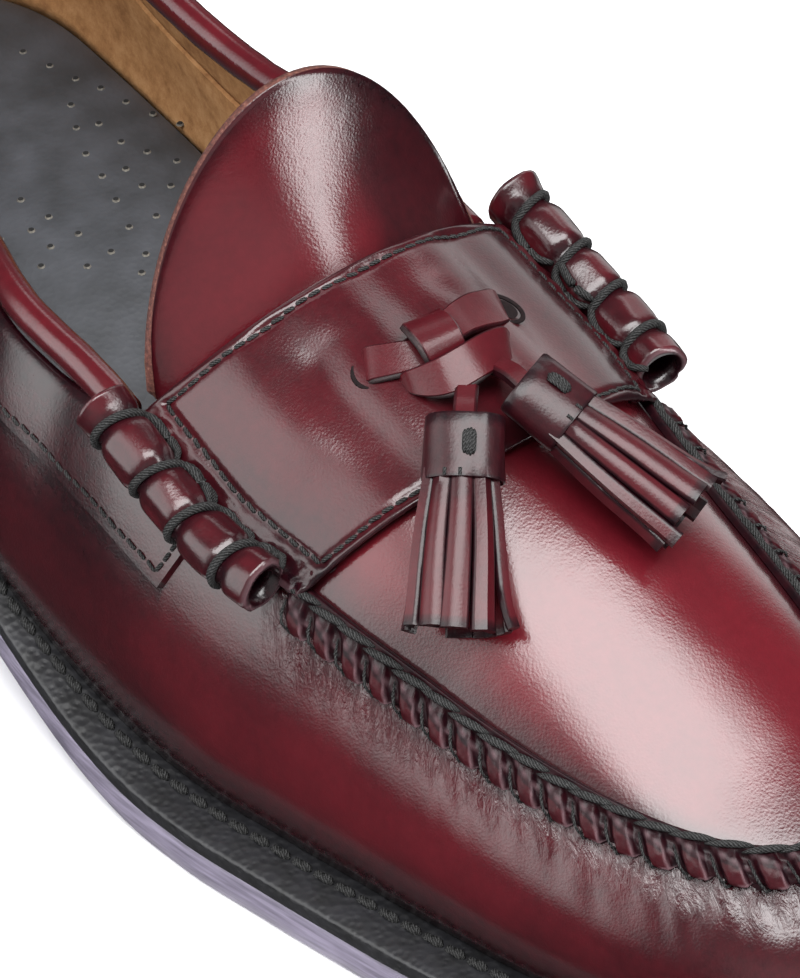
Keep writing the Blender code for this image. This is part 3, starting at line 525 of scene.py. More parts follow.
def stripInto(bm, path, wide, width, thickness, values=None, edge=0.25, cup=0.0):
    rings = []
    for k, point in enumerate(path):
        axis = (path[min(k + 1, len(path) - 1)] - path[max(k - 1, 0)]).normalized()
        side = wide(k) if callable(wide) else wide
        across = (side - axis * side.dot(axis)).normalized()
        up = axis.cross(across).normalized()
        w = (width(k) if callable(width) else width) / 2
        t = thickness / 2
        e = thickness * edge
        corners = [(-w, -t + e), (-w + e, -t), (0, -t + cup), (w - e, -t), (w, -t + e),
                   (w, t - e), (w - e, t), (0, t + cup), (-w + e, t), (-w, t - e)]
        rings.append([point + across * a + up * c for a, c in corners])
    ringsInto(bm, rings, values=values)


def resample(points, step):
    lengths = [0.0]
    for a, b in zip(points, points[1:]):
        lengths.append(lengths[-1] + (b - a).length)
    count = max(1, round(lengths[-1] / step))
    out, k = [], 0
    for n in range(count + 1):
        want = lengths[-1] * n / count
        while k < len(points) - 2 and lengths[k + 1] < want:
            k += 1
        span = max(1e-12, lengths[k + 1] - lengths[k])
        out.append(points[k].lerp(points[k + 1], min(1.0, max(0.0, (want - lengths[k]) / span))))
    return out


def bezierPath(points, count=16):
    out = []
    pts = [points[0]] + list(points) + [points[-1]]
    for a, b, c, d in zip(pts, pts[1:], pts[2:], pts[3:]):
        for n in range(count):
            t = n / count
            out.append(0.5 * ((2 * b) + (c - a) * t + (2 * a - 5 * b + 4 * c - d) * t ** 2
                              + (3 * b - a - 3 * c + d) * t ** 3))
    out.append(points[-1])
    return out


def addPiece(name, bm, looks, nodes=(), sharp=None, wall=None, clean=False):
    if clean:
        bmesh.ops.dissolve_degenerate(bm, dist=1e-7, edges=bm.edges)
    bmesh.ops.translate(bm, vec=(0, last["shift"], 0), verts=bm.verts)
    mesh = bpy.data.meshes.new(name)
    bm.to_mesh(mesh)
    bm.free()
    for look in looks:
        mesh.materials.append(look)
    if sharp:
        mesh.set_sharp_from_angle(angle=radians(sharp))
    made = bpy.data.objects.new(name, mesh)
    bpy.context.scene.collection.objects.link(made)
    if wall:
        solid = made.modifiers.new("wall", "SOLIDIFY")
        solid.thickness = wall[0]
        solid.offset = -1
        solid.material_offset = wall[1]
        solid.material_offset_rim = wall[2]
    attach(made, "root")
    if nodes:
        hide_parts(*nodes)
    return made


def stitchRow(bm, path, pitch, length, radius, lift, up, sides=6, wander=0.0):
    marks = resample(path, pitch)
    for n, (a, b) in enumerate(zip(marks, marks[1:])):
        middle = (a + b) / 2
        half = (b - a) * (length / 2)
        normal = up(middle) if callable(up) else up
        turn = half.cross(normal).normalized() * wander
        middle = middle + turn * sin(7.3 * n)
        half = half * (1 + 0.10 * sin(3.7 * n)) + turn * (0.9 + 0.6 * sin(5.1 * n))
        threadInto(bm, [middle - half - normal * radius * 0.9, middle - half * 0.6 + normal * lift * 0.6,
                        middle + normal * lift, middle + half * 0.6 + normal * lift * 0.6,
                        middle + half - normal * radius * 0.9], radius, sides, 0.8, normal)


def stationList(count):
    return [(1 - cos(pi * i / count)) / 2 for i in range(count + 1)]


def loopOf(rows):
    return [(s, -1) for s in rows] + [(s, 1) for s in reversed(rows[1:-1])]


# upper: vamp wall, quarters and plug
shell = dict(bandFront=0.6000, bandStep=0.0010, lean=0.020, pitch=5.5, gather=0.00034, gatherDepth=8.0,
             gatherFrom=0.66, fold=0.0007, foldDepth=11.0, wallMm=40.0, levels=27, bandRow=12)
bandRows = dict(station=(0.0, 0.30, 0.40, 0.44, 0.48, 0.54, 0.60, 1.0),
                share=(0.600, 0.640, 0.690, 0.725, 0.735, 0.705, 0.700, 0.700))


def bandShare(station):
    return read(bandRows, "share", station)


def bandLean(station, t):
    return shell["lean"] * min(1.0, max(-0.2, (t - 0.72) / 0.22)) * exp(-((station - 0.600) / 0.030) ** 2)


shellRows = stationList(230)
for mark in (0.5965, 0.5980, 0.5995, 0.6010, 0.692):
    shellRows = [s for s in shellRows if abs(s - mark) > 0.0006] + [mark]
shellRows = sorted(shellRows)
shellLoop = loopOf(shellRows)
rimRun = [0.0]
for (s0, d0), (s1, d1) in zip(shellLoop, shellLoop[1:] + shellLoop[:1]):
    rimRun.append(rimRun[-1] + (rimAt(s1, d1) - rimAt(s0, d0)).length * 1000)
toeRun = rimRun[len(shellRows) - 1]


def shellShares(station):
    edge = bandShare(station)
    below, above = shell["bandRow"] - 1, shell["levels"] - shell["bandRow"]
    low = [edge * k / below for k in range(below)] + [edge - 0.002, edge + 0.006]
    return low + [edge + 0.006 + (0.994 - edge) * (k / above) ** 0.8 for k in range(1, above + 1)]


shareStore = {}


def shellSpot(i, j):
    station, side = shellLoop[i % len(shellLoop)]
    if station not in shareStore:
        shareStore[station] = shellShares(station)
    return station, side, shareStore[station][j]


def shellPoint(i, j):
    station, side, t = shellSpot(i, j)
    place = station + bandLean(station, t)
    point = wallAt(place, side, t)
    normal = wallNormal(place, side, t)
    if j >= shell["bandRow"] and station < shell["bandFront"] - 0.0005:
        point = point + normal * shell["bandStep"] * smooth((1.0 - t) / 0.03)
    if station > shell["gatherFrom"]:
        below = (1 - t) * shell["wallMm"]
        start = smooth((station - shell["gatherFrom"]) / 0.06)
        phase = 2 * pi * (rimRun[i] - toeRun) / shell["pitch"]
        fade = start * exp(-(below / shell["gatherDepth"]) ** 1.5)
        wave = cos(phase + 0.9 * sin(0.37 * rimRun[i]) + 0.05 * below)
        point = point + normal * shell["gather"] * fade * wave
        fold = noise.noise(Vector((rimRun[i] * 0.55, below * 0.09, 3.0 + side)))
        point = point + normal * shell["fold"] * fold * start * exp(-(below / shell["foldDepth"]) ** 2)
    return point


# darker toward the feather, the rim, the toe and over the quarters; painted light in a lighter patch on the
# vamp's side, and painted shadow on the face of the quarter band's step
def shellToneAndPaintedLight(i, j):
    station, side, t = shellSpot(i, j)
    value = 0.42 + 0.50 * (1 - smooth(t / 0.30)) + 0.34 * smooth((t - 0.80) / 0.20)
    quarter = 1 - smooth((station - 0.52) / 0.14)
    value += 0.40 * quarter * (0.35 + 0.65 * smooth((t - 0.45) / 0.2))
    value -= 0.22 * exp(-((station - 0.74) / 0.14) ** 2 - ((t - 0.42) / 0.20) ** 2)
    if station < shell["bandFront"] and shell["bandRow"] - 1 <= j <= shell["bandRow"]:
        value += 0.5
    value += 0.22 * smooth((station - 0.88) / 0.12)
    return value


def shellGather(i, j):
    station, side, t = shellSpot(i, j)
    return smooth((station - shell["gatherFrom"]) / 0.05) * (1 - smooth((1 - t) * shell["wallMm"] / 13.0))


bm = bmesh.new()
gridInto(bm, len(shellLoop), shell["levels"], shellPoint, wrapRows=True,
         uv=("seamMm", lambda i, j: (rimRun[i], (1 - shellSpot(i, j)[2]) * shell["wallMm"])),
         values={"darkeningAndPaintedShade": shellToneAndPaintedLight, "gather": shellGather})
plugRows = [last["throat"]] + [s for s in stationList(150) if s > last["throat"]]
plugColumns = 48


def plugPoint(i, j):
    b = 2 * j / plugColumns - 1
    return crownAt(rimX(plugRows[i]), math.copysign(abs(b) ** 0.9, b))


# darker toward the seam along the plug's sides and at the toe's tip
def plugEdgeDarkening(i, j):
    b = abs(2 * j / plugColumns - 1)
    station = plugRows[i]
    return 0.06 + 0.60 * smooth((b - 0.70) / 0.30) + 0.35 * smooth((station - 0.93) / 0.07)


gridInto(bm, len(plugRows) - 1, plugColumns, plugPoint,
         uv=("seamMm", lambda i, j: (plugRows[i] * rimSpan * 1000, 100 + j)),
         values={"darkeningAndPaintedShade": plugEdgeDarkening, "gather": lambda i, j: 0.0})
addPiece("upperShell", bm, [burgundyCalf, tanSuede, rawEdge], ["upper"], wall=(last["wall"], 1, 2),
         sharp=50, clean=True)

# stitch row along the lower edge of the quarter band and up its front
bandSeam = dict(start=0.02, above=0.046, behind=0.0075, top=0.93)
bandThread = dict(pitch=0.0025, length=1.0, radius=0.00036, lift=0.00018, wander=0.00016)
bandReach = shell["bandFront"] - bandSeam["behind"] - bandSeam["start"]
bandStations = [bandSeam["start"] + bandReach * k / 150 for k in range(151)]
bandSpots = [(s, bandShare(s) + bandSeam["above"]) for s in bandStations]
corner, turn = bandSpots[-1]
bandRise = [(corner, turn + (bandSeam["top"] - turn) * k / 24) for k in range(25)]
bm = bmesh.new()
for side in (-1, 1):
    for spots in (bandSpots, bandRise):
        path = [wallAt(s + bandLean(s, t), side, t) + wallNormal(s, side, t) * shell["bandStep"]
                for s, t in spots]
        stitchRow(bm, path, up=lambda p: wallNormal(rimStation(p.x), side, 0.75), **bandThread)
addPiece("quarterStitches", bm, [greyThread])
print("upper made")

# raised seam: leather lip gathered into little pillows between the stitches
seam = dict(width=0.0047, lip=0.0016, height=0.0019, seat=0.0004, columns=20, across=28, thread=0.00064,
            under=0.00030)
seamLine = [(s, d) for s, d in shellLoop if s >= last["seamStart"]]


def seamProfile(station, side):
    base = rimAt(station, side)
    length = (base - wallAt(station, side, 0.8)).length / 0.2
    down = min(0.5, seam["width"] / length)
    outward = wallNormal(station, side, 0.97)
    inward = Vector((-outward.x, -outward.y, 0)).normalized()
    plan = base + inward * seam["lip"]
    lip, lipNormal = crownOver(plan.x, plan.y)
    low, mid = wallAt(station, side, 1 - down), wallAt(station, side, 1 - down * 0.55)
    lowNormal, midNormal = wallNormal(station, side, 1 - down), wallNormal(station, side, 1 - down * 0.55)
    up = Vector((0, 0, 1))
    return [lip + lipNormal * seam["seat"] * 0.2, lip + lipNormal * (seam["seat"] + seam["height"] * 0.45),
            base + up * (seam["height"] * 0.98 + seam["seat"]) + outward * 0.0003,
            mid + midNormal * (seam["height"] * 0.86 + seam["seat"]),
            low + lowNormal * (seam["seat"] + 0.0006), low + lowNormal * -0.0003]


seamProfiles = [seamProfile(s, d) for s, d in seamLine]
seamRun = [0.0]
for a, b in zip(seamProfiles, seamProfiles[1:]):
    seamRun.append(seamRun[-1] + (b[2] - a[2]).length * 1000)
windows = round(seamRun[-1] / shell["pitch"])


def seamAt(u, w):
    want = u / windows * seamRun[-1]
    k = min(len(seamRun) - 2, max(0, next((n for n, r in enumerate(seamRun) if r > want),
                                          len(seamRun) - 1) - 1))
    share = min(1.0, max(0.0, (want - seamRun[k]) / (seamRun[k + 1] - seamRun[k])))
    pts = [a.lerp(b, share) for a, b in zip(seamProfiles[k], seamProfiles[k + 1])]
    spot = w * (len(pts) - 1)
    n = min(len(pts) - 2, int(spot))
    f = spot - n
    p0, p1, p2, p3 = pts[max(0, n - 1)], pts[n], pts[n + 1], pts[min(len(pts) - 1, n + 2)]
    return 0.5 * ((2 * p1) + (p2 - p0) * f + (2 * p0 - 5 * p1 + 4 * p2 - p3) * f ** 2
                  + (3 * p1 - p0 - 3 * p2 + p3) * f ** 3)


def seamNormal(u, w):
    along = seamAt(min(windows, u + 0.1), w) - seamAt(max(0, u - 0.1), w)
    over = seamAt(u, min(1.0, w + 0.04)) - seamAt(u, max(0.0, w - 0.04))
    return over.cross(along).normalized()


print("seam path", windows, round(seamRun[-1], 1))
bm = bmesh.new()
seamRandom = random.Random(11)
windowTwist = [[seamRandom.uniform(*span) for span in ((-0.05, 0.05), (0.75, 1.15), (-0.03, 0.03))]
               for n in range(windows + 1)]


def pillow(i, j):
    u, w = i / seam["columns"], j / seam["across"]
    slant = u - 0.28 * (w - 0.60)
    n = min(windows, max(0, int(math.floor(slant))))
    turn, size, drop = windowTwist[n]
    phase = min(1.0, max(0.0, slant - math.floor(slant) + turn * 0.6))
    top = 0.47 + 0.12 * phase + drop * 0.5
    body = smooth((w - top) / 0.05) * (1 - smooth((w - 0.80 - drop) / 0.06))
    shape = smooth((phase - 0.06) / 0.20) * (1 - smooth((phase - 0.66) / 0.14))
    return u, w, phase, body, shape, size, top


def seamPoint(i, j):
    u, w, phase, body, shape, size, top = pillow(i, j)
    point = seamAt(u, w)
    normal = seamNormal(u, w)
    dip = -0.0011 * (1 - shape) * smooth((w - 0.40) / 0.08) * (1 - smooth((w - 0.92) / 0.06))
    puff = 0.00030 * sin(pi * min(1.0, max(0.0, (phase - 0.05) / 0.82))) * body * size
    tuck = -0.0005 * smooth((w - 0.80) / 0.05) * (1 - smooth((w - 0.95) / 0.05))
    crumple = 0.00020 * noise.noise(point * 1100) * smooth((w - 0.36) / 0.1)
    lipCut = 0.00035 * smooth((w - top + 0.07) / 0.02) * (1 - smooth((w - top) / 0.025))
    return point + normal * (dip + puff + lipCut + crumple + tuck)


def seamPale(i, j):
    u, w, phase, body, shape, size, top = pillow(i, j)
    right = 0.6 * bell((phase - 0.68) / 0.030) * smooth((w - 0.52) / 0.08) * (1 - smooth((w - 0.83) / 0.04))
    lower = bell((w - 0.80) / 0.020) * smooth((phase - 0.40) / 0.2) * (1 - smooth((phase - 0.80) / 0.06))
    cut = 0.40 * exp(-((w - top + 0.012) / 0.012) ** 2) * smooth(phase / 0.15)
    return max(right, lower, cut) * (0.6 + 0.4 * size)


# painted shade: dark in the dips between the pillows and along the seam's lower tuck, lighter on the pillows'
# bodies and on the lip's plug side
def seamPaintedShade(i, j):
    u, w, phase, body, shape, size, top = pillow(i, j)
    return 1.9 - 1.50 * body * shape - 0.9 * (1 - smooth((w - 0.22) / 0.1))


gridInto(bm, windows * seam["columns"], seam["across"], seamPoint,
         values={"darkeningAndPaintedShade": seamPaintedShade, "pale": seamPale})
bmesh.ops.reverse_faces(bm, faces=bm.faces)
addPiece("gatheredSeam", bm, [seamLeather], ["moc_seam"])

# waxed thread along the top of the seam: each stitch starts under the end of the last one
bm = bmesh.new()
for n in range(windows):
    path = []
    for k in range(9):
        share = k / 8
        u = min(windows - 0.02, max(0.02, n - 0.18 + 1.42 * share))
        w = 0.440 - 0.080 * share + 0.012 * sin(2.2 * n)
        lift = sin(pi * share) ** 0.7 * 0.0006 - 0.0002
        path.append(seamAt(u, w) + seamNormal(u, w) * lift)
    threadInto(bm, path, lambda share: seam["thread"] * (0.50 + 0.62 * sin(pi * share)), 10, 0.85,
               seamNormal(min(windows - 0.1, n + 0.5), 0.2), ends=0.4)
    for drift, first, stop in ((-0.05, 0.50, 0.88), (0.10, 0.80, 0.97)):
        under = []
        for k in range(5):
            share = k / 4
            u = min(windows - 0.02, max(0.02, n + drift + 0.22 * share))
            w = first + (stop - first) * share
            under.append(seamAt(u, w) + seamNormal(u, w) * (-0.0006 + 0.0008 * sin(pi * share)))
        threadInto(bm, under, seam["under"], 6, 0.8, seamNormal(min(windows - 0.1, n + 0.1), 0.9), ends=0.4)
addPiece("seamThread", bm, [greyThread])
print("seam made")

# rolled topline: padded leather bead around the opening, with the fine ripples that it gets where it bends
bead = dict(width=0.0056, height=0.0060, sides=20, ripple=0.05)
beadRows = [s for s in stationList(150) if s < last["beadEnd"]] + [last["beadEnd"]]
beadLoop = [(s, 1) for s in reversed(beadRows)] + [(s, -1) for s in beadRows[1:]]
rings = []
for s, d in beadLoop:
    top = rimAt(s, d)
    outward = wallNormal(s, d, 0.97)
    outward = Vector((outward.x, outward.y, 0)).normalized()
    centre = top - outward * (bead["width"] / 2 - 0.0010) - Vector((0, 0, bead["height"] / 2))
    ring = []
    for k in range(bead["sides"]):
        angle = 2 * pi * k / bead["sides"]
        around = outward * cos(angle) * bead["width"] / 2 + Vector((0, 0, sin(angle) * bead["height"] / 2))
        ring.append(centre + around * (1 + bead["ripple"] * noise.noise((centre + around) * 260)))
    rings.append(ring)
bm = bmesh.new()
# painted light on the bead's top and painted shade on its underside
ringsInto(bm, rings, values={"darkeningAndPaintedShade": lambda i, j: 0.425 - 0.175 * sin(2 * pi * j / bead["sides"])})
addPiece("toplineBead", bm, [burgundyCalf], ["collar_bead"])
print("bead made")

# tongue: stands up behind the strap, suede on its foot side
tongueForm = dict(thickness=0.0013, rise=0.0350, halfWidth=0.0340, tuck=0.0200, seat=0.0006, rows=48, flat=12,
                  columns=52)
strapForm = dict(rear=0.1565, length=0.0400, sweep=0.0095, span=0.985, seat=0.0005, thickness=0.0020, rows=64,
                 columns=150, edge=0.0007, stitch=0.0018, sideRow=0.860)


def strapEdge(b, front=False):
    x = strapForm["rear"] - halfLength + strapForm["sweep"] * (1 - b * b)
    return x + strapForm["length"] if front else x


def tonguePoint(i, j):
    f = tongueForm
    b = 2 * j / f["columns"] - 1
    b = sin(b * pi / 2) * 0.35 + b * 0.65
    span = f["halfWidth"] / plugHalf
    rear = strapEdge(b) + 0.0015
    front = strapEdge(b) + f["tuck"] + 0.006
    x = front + (rear - front) * min(1.0, i / f["flat"])
    point = crownAt(x, b * span) - crownNormal(x, b * span) * (last["wall"] + f["seat"])
    if i > f["flat"]:
        u = (i - f["flat"]) / (f["rows"] - f["flat"])
        height = f["rise"] * max(0.10, sqrt(max(0.0, 1 - b * b)))
        point.x -= height * (0.66 * u - 0.24 * u * u)
        point.z += height * (0.56 * u + 0.36 * u * u)
        point.x -= 0.0011 * sin(3.1 * b + 1.0) * sin(pi * min(1.0, u * 1.1)) * (1 - b * b)
    return point


# darker toward its sides and top rim; painted shade over its inner half, away from the light, and at its foot
# under the strap
def tongueEdgesAndPaintedShade(i, j):
    f = tongueForm
    side = 2 * j / f["columns"] - 1
    b = abs(side)
    u = max(0.0, (i - f["flat"]) / (f["rows"] - f["flat"]))
    right = 0.42 * smooth((side - 0.12) / 0.25) * (1 - 0.4 * smooth((side - 0.75) / 0.2))
    edge = 0.14 + 0.35 * smooth((b - 0.7) / 0.3) + 0.40 * smooth((u - 0.84) / 0.16)
    return edge + right + 0.3 * (1 - smooth(u / 0.2))


bm = bmesh.new()
gridInto(bm, tongueForm["rows"], tongueForm["columns"], tonguePoint, values={"darkeningAndPaintedShade": tongueEdgesAndPaintedShade})
bmesh.ops.reverse_faces(bm, faces=bm.faces)
addPiece("tongueLeather", bm, [burgundyCalf, tanSuede, rawEdge], ["tongue"],
         wall=(tongueForm["thickness"], 1, 2), sharp=50)
print("tongue made")


# saddle strap with two slots for the lace
def edgeDrop(distance, radius):
    if distance >= radius:
        return 0.0
    return radius - sqrt(max(0.0, radius ** 2 - (radius - distance) ** 2))


def softStep(n, count, sharpness):
    v = n / count
    return v - sharpness * sin(2 * pi * v) / (2 * pi)


# soft dents and swells from wear and the lace: share across, share along, radii, height in mm
strapSwells = ((-0.62, 0.30, 0.20, 0.35, 0.55), (-0.42, 0.55, 0.10, 0.60, -0.55),
               (-0.20, 0.40, 0.16, 0.50, 0.50), (0.05, 0.30, 0.12, 0.50, -0.35),
               (0.30, 0.45, 0.14, 0.60, 0.50), (0.52, 0.40, 0.12, 0.60, -0.60),
               (0.74, 0.55, 0.14, 0.60, 0.45), (-0.66, 0.78, 0.22, 0.22, -0.45),
               (-0.33, 0.30, 0.12, 0.10, -0.30), (0.27, 0.20, 0.10, 0.10, -0.30))
swellScale = 1.7


def strapWave(b, u):
    lift = 0.0
    for across, along, wide, long, height in strapSwells:
        lift += swellScale * height * mm * exp(-((b - across) / wide) ** 2 - ((u - along) / long) ** 2)
    rows = abs(min(u, 1 - u) * strapForm["length"] - strapForm["stitch"])
    if abs(b) > 0.18 or u < 0.5:
        lift -= 0.00034 * exp(-(rows / 0.0006) ** 2) * (1 if abs(b) < strapForm["sideRow"] else 0.0)
    lift -= 0.00040 * exp(-((abs(b) - strapForm["sideRow"]) * plugHalf / 0.0006) ** 2)
    outside = smooth((abs(b) - strapForm["sideRow"] - 0.01) / 0.03)
    return lift * smooth(min(u, 1 - u) / 0.04), outside


def strapPoint(i, j):
    f = strapForm
    v = softStep(j, f["columns"], 0.8)
    u = softStep(i, f["rows"], 0.8)
    b = (2 * v - 1) * f["span"]
    rear, front = strapEdge(b), strapEdge(b, True)
    x = rear + (front - rear) * u
    normal = crownNormal(x, b)
    toEdge = min(u, 1 - u) * f["length"]
    toSide = min(v, 1 - v) * last["plug"] * f["span"]
    drop = max(edgeDrop(toEdge, f["edge"]), edgeDrop(toSide, f["edge"]))
    lift, outside = strapWave(b, u)
    point = crownAt(x, b)
    lift += outside * 0.00045 * noise.noise(point * 620)
    nearRow = exp(-(abs(toEdge - f["stitch"]) / 0.0012) ** 2)
    lift += nearRow * 0.00010 * noise.noise(point * 900)
    return point + normal * (f["seat"] + f["thickness"] - drop + lift)


# darker along its edges and stitch rows; painted shade over the front of its outer side and in a lengthwise
# band on its inner side
def strapEdgesAndPaintedShade(i, j):
    f = strapForm
    u, v = i / f["rows"], j / f["columns"]
    nearEdge = min(u, 1 - u) * f["length"] * 1000
    b = (2 * v - 1) * f["span"]
    nearSide = abs(f["sideRow"] - abs(b)) * plugHalf * 1000
    dark = 0.10 + 0.55 * exp(-(min(nearEdge, nearSide) / 2.4) ** 1.5)
    dark += 0.42 * smooth((-b - 0.42) / 0.25) * smooth((u - 0.35) / 0.35)
    dark += 0.38 * exp(-((b - 0.52) / 0.12) ** 2)
    return dark


def strapPale(i, j):
    f = strapForm
    b = abs(2 * j / f["columns"] - 1) * f["span"]
    u = i / f["rows"]
    rim = exp(-(min(u, 1 - u) * f["length"] / 0.0007) ** 2)
    return 0.20 * smooth((b - f["sideRow"] - 0.01) / 0.03) + 0.12 * rim


def overStrap(x, y, lift=0.0):
    point, normal = crownOver(x, y)
    return point + normal * (strapForm["seat"] + strapForm["thickness"] + lift), normal


bm = bmesh.new()
gridInto(bm, strapForm["rows"], strapForm["columns"], strapPoint,
         values={"darkeningAndPaintedShade": strapEdgesAndPaintedShade, "pale": strapPale})
addPiece("saddleStrap", bm, [strapLeather, darkCalf, dyedEdge], ["saddle_strap"],
         wall=(strapForm["thickness"] - 0.0002, 1, 2), sharp=50)


def strapLine(points):
    line = []
    for x, b in points:
        u = (x - strapEdge(b)) / strapForm["length"]
        line.append(crownAt(x, b) + crownNormal(x, b) * (strapForm["seat"] + strapForm["thickness"]
                                                         + strapWave(b, u)[0]))
    return line


def strapUp(point):
    return crownOver(point.x, point.y)[1]


def strapRow(points):
    stitchRow(bm, strapLine(points), up=strapUp, **strapSeam)


strapSeam = dict(pitch=0.0023, length=1.02, radius=0.00036, lift=0.00022, wander=0.00016)
inset, sideRow = strapForm["stitch"], strapForm["sideRow"]
bm = bmesh.new()
strapRow([(strapEdge(b) + inset, b) for b in [sideRow * (-1 + 2 * k / 80) for k in range(81)]])
for side in (-1, 1):
    strapRow([(strapEdge(b, True) - inset, side * b)
              for b in [sideRow - (sideRow - 0.24) * k / 40 for k in range(41)]])
    strapRow([(strapEdge(sideRow) + inset + (strapForm["length"] - 2 * inset) * k / 30, side * sideRow)
              for k in range(31)])
addPiece("strapStitches", bm, [greyThread])

# half-round slots: a dark cut edge on the side away from the knot, and a dark disc on the strap as painted
# shade for the opening
slots = dict(radius=0.0031, rim=0.00042, shadeDisc=0.72, places=((33.0, -11.7, 165, 400), (32.2, 10.2, -25, 215)))
bm = bmesh.new()
for x, y, first, stop in slots["places"]:
    middle, face = overStrap(x * mm, y * mm, 0.0)
    ahead = Vector((1, 0, 0))
    ahead = (ahead - face * ahead.dot(face)).normalized()
    over = face.cross(ahead)
    rimPath = []
    for k in range(19):
        angle = radians(first + (stop - first) * k / 18)
        spot = middle + (ahead * cos(angle) + over * sin(angle)) * slots["radius"]
        rimPath.append(overStrap(spot.x, spot.y, 0.00005)[0])
    threadInto(bm, rimPath, slots["rim"], 8, 0.7, face, ends=0.5)
    shadeDisc = bmesh.ops.create_circle(bm, cap_ends=True, segments=24,
                                  radius=slots["radius"] * slots["shadeDisc"])["verts"]
    for v in shadeDisc:
        spot = middle + ahead * v.co.x + over * v.co.y
        v.co = overStrap(spot.x, spot.y, 0.00012)[0]
addPiece("laceSlots", bm, [slotEdgeAndShade])
print("strap made")

# rolled strap ends, whipped with one dark cord that runs from loop to loop along the inner edge
rollForm = dict(rear=0.1545, length=0.0385, radius=0.0047, bore=0.0034, out=0.0040, rise=0.0038, rows=96,
                sides=32, loops=(0.12, 0.37, 0.61, 0.85), pinch=0.0009, cord=0.00078)


def rollFrame(share, side):
    x = rollForm["rear"] + rollForm["length"] * share
    s = rimStation(x - halfLength)
    axis = (rimAt(s + 0.01, side) - rimAt(s - 0.01, side)).normalized()
    across = Vector((-axis.y, axis.x, 0)).normalized() * side
    lift = axis.cross(across) * side
    if lift.z < 0:
        lift = -lift
    centre = rimAt(s, side) + across * rollForm["out"] + Vector((0, 0, rollForm["rise"]))
    return centre, axis, across, lift


def rollRadius(share, angle=None):
    draw = max(exp(-((share - loop) / 0.034) ** 2) for loop in rollForm["loops"])
    radius = rollForm["radius"] - rollForm["pinch"] * draw
    if angle is not None:
        fold = 0.00016 * sin(3 * angle + 9 * share) + 0.00010 * sin(7 * angle - 5 * share)
        flare = 0.0013 * exp(-(share / 0.045) ** 2) * max(0.0, sin(angle + 0.3))
        radius += fold * (1 - draw) + flare
        radius -= 0.0007 * exp(-((angle + 0.62) / 0.16) ** 2) * (1 - draw)
    return radius - edgeDrop(min(share, 1 - share) * rollForm["length"], 0.0006)


def rollPoint(share, side, angle, radius):
    centre, axis, across, lift = rollFrame(share, side)
    return centre + across * radius * cos(angle) + lift * radius * sin(angle)


def rollAngle(k):
    angle = 2 * pi * k / rollForm["sides"]
    return angle - 2 * pi if angle > pi else angle


# painted shade: darker where the cord pinches the roll, in lengthwise bands, on its underside and all over
# its bore
def rollPaintedShade(i, j):
    if i > rollForm["rows"]:
        return 1.4
    share = i / rollForm["rows"]
    angle = rollAngle(j)
    draw = max(exp(-((share - loop) / 0.040) ** 2) for loop in rollForm["loops"])
    return 0.30 + 0.5 * draw + 0.25 * sin(2 * angle + 0.6) ** 2 + 0.4 * max(0.0, -sin(angle))


def rollPale(i, j):
    if i > rollForm["rows"]:
        return 0.0
    share = i / rollForm["rows"]
    angle = rollAngle(j)
    edge = 0.9 * exp(-((angle + 0.62) / 0.07) ** 2)
    ends = 0.5 * exp(-(min(share, 1 - share) / 0.008) ** 2)
    return max(edge, ends)


for label, node, side in (("rollOuter", "beef_roll_outer", -1), ("rollInner", "beef_roll_inner", 1)):
    rings = []
    for i in range(rollForm["rows"] + 1):
        share = i / rollForm["rows"]
        rings.append([rollPoint(share, side, rollAngle(k), rollRadius(share, rollAngle(k)))
                      for k in range(rollForm["sides"])])
    for i in range(13):
        share = 1 - i / 12
        rings.append([rollPoint(share, side, rollAngle(k), rollForm["bore"] - 0.0006 * sin(pi * share))
                      for k in range(rollForm["sides"])])
    bm = bmesh.new()
    ringsInto(bm, rings, loop=True, values={"darkeningAndPaintedShade": rollPaintedShade, "pale": rollPale})
    addPiece(label, bm, [rollLeather], [node])
    bm = bmesh.new()
    stops = list(rollForm["loops"]) + [1.03]
    for n, loop in enumerate(rollForm["loops"]):
        path = []
        for k in range(15):
            angle = radians(-50 + 200 * k / 14)
            skew = -0.022 * cos(angle) + 0.008 * sin(2.0 * n)
            path.append(rollPoint(loop + skew, side, angle, rollRadius(loop) + rollForm["cord"] * 0.6))
        for k in range(1, 9):
            share = loop + 0.022 + (stops[n + 1] - loop - 0.03) * k / 8
            angle = radians(152 + 14 * sin(pi * k / 8) - (14 if n == 3 else 0) * k / 8)
            path.append(rollPoint(share, side, angle,
                                  rollRadius(share) + rollForm["cord"] * (0.55 - 0.7 * (k == 8))))
        path = bezierPath(path, 2)
        threadInto(bm, path, rollForm["cord"], 8, 0.9, rollFrame(loop, side)[1], ends=0.5)
    twin = []
    for k in range(9):
        share = 0.385 + 0.215 * k / 8
        twin.append(rollPoint(share, side, radians(132 + 8 * sin(pi * k / 8)),
                              rollRadius(share) + rollForm["cord"] * 0.5))
    threadInto(bm, twin, rollForm["cord"], 8, 0.9, rollFrame(0.5, side)[1], ends=0.4)
    addPiece(label + "Thread", bm, [greyThread])
print("rolls made")

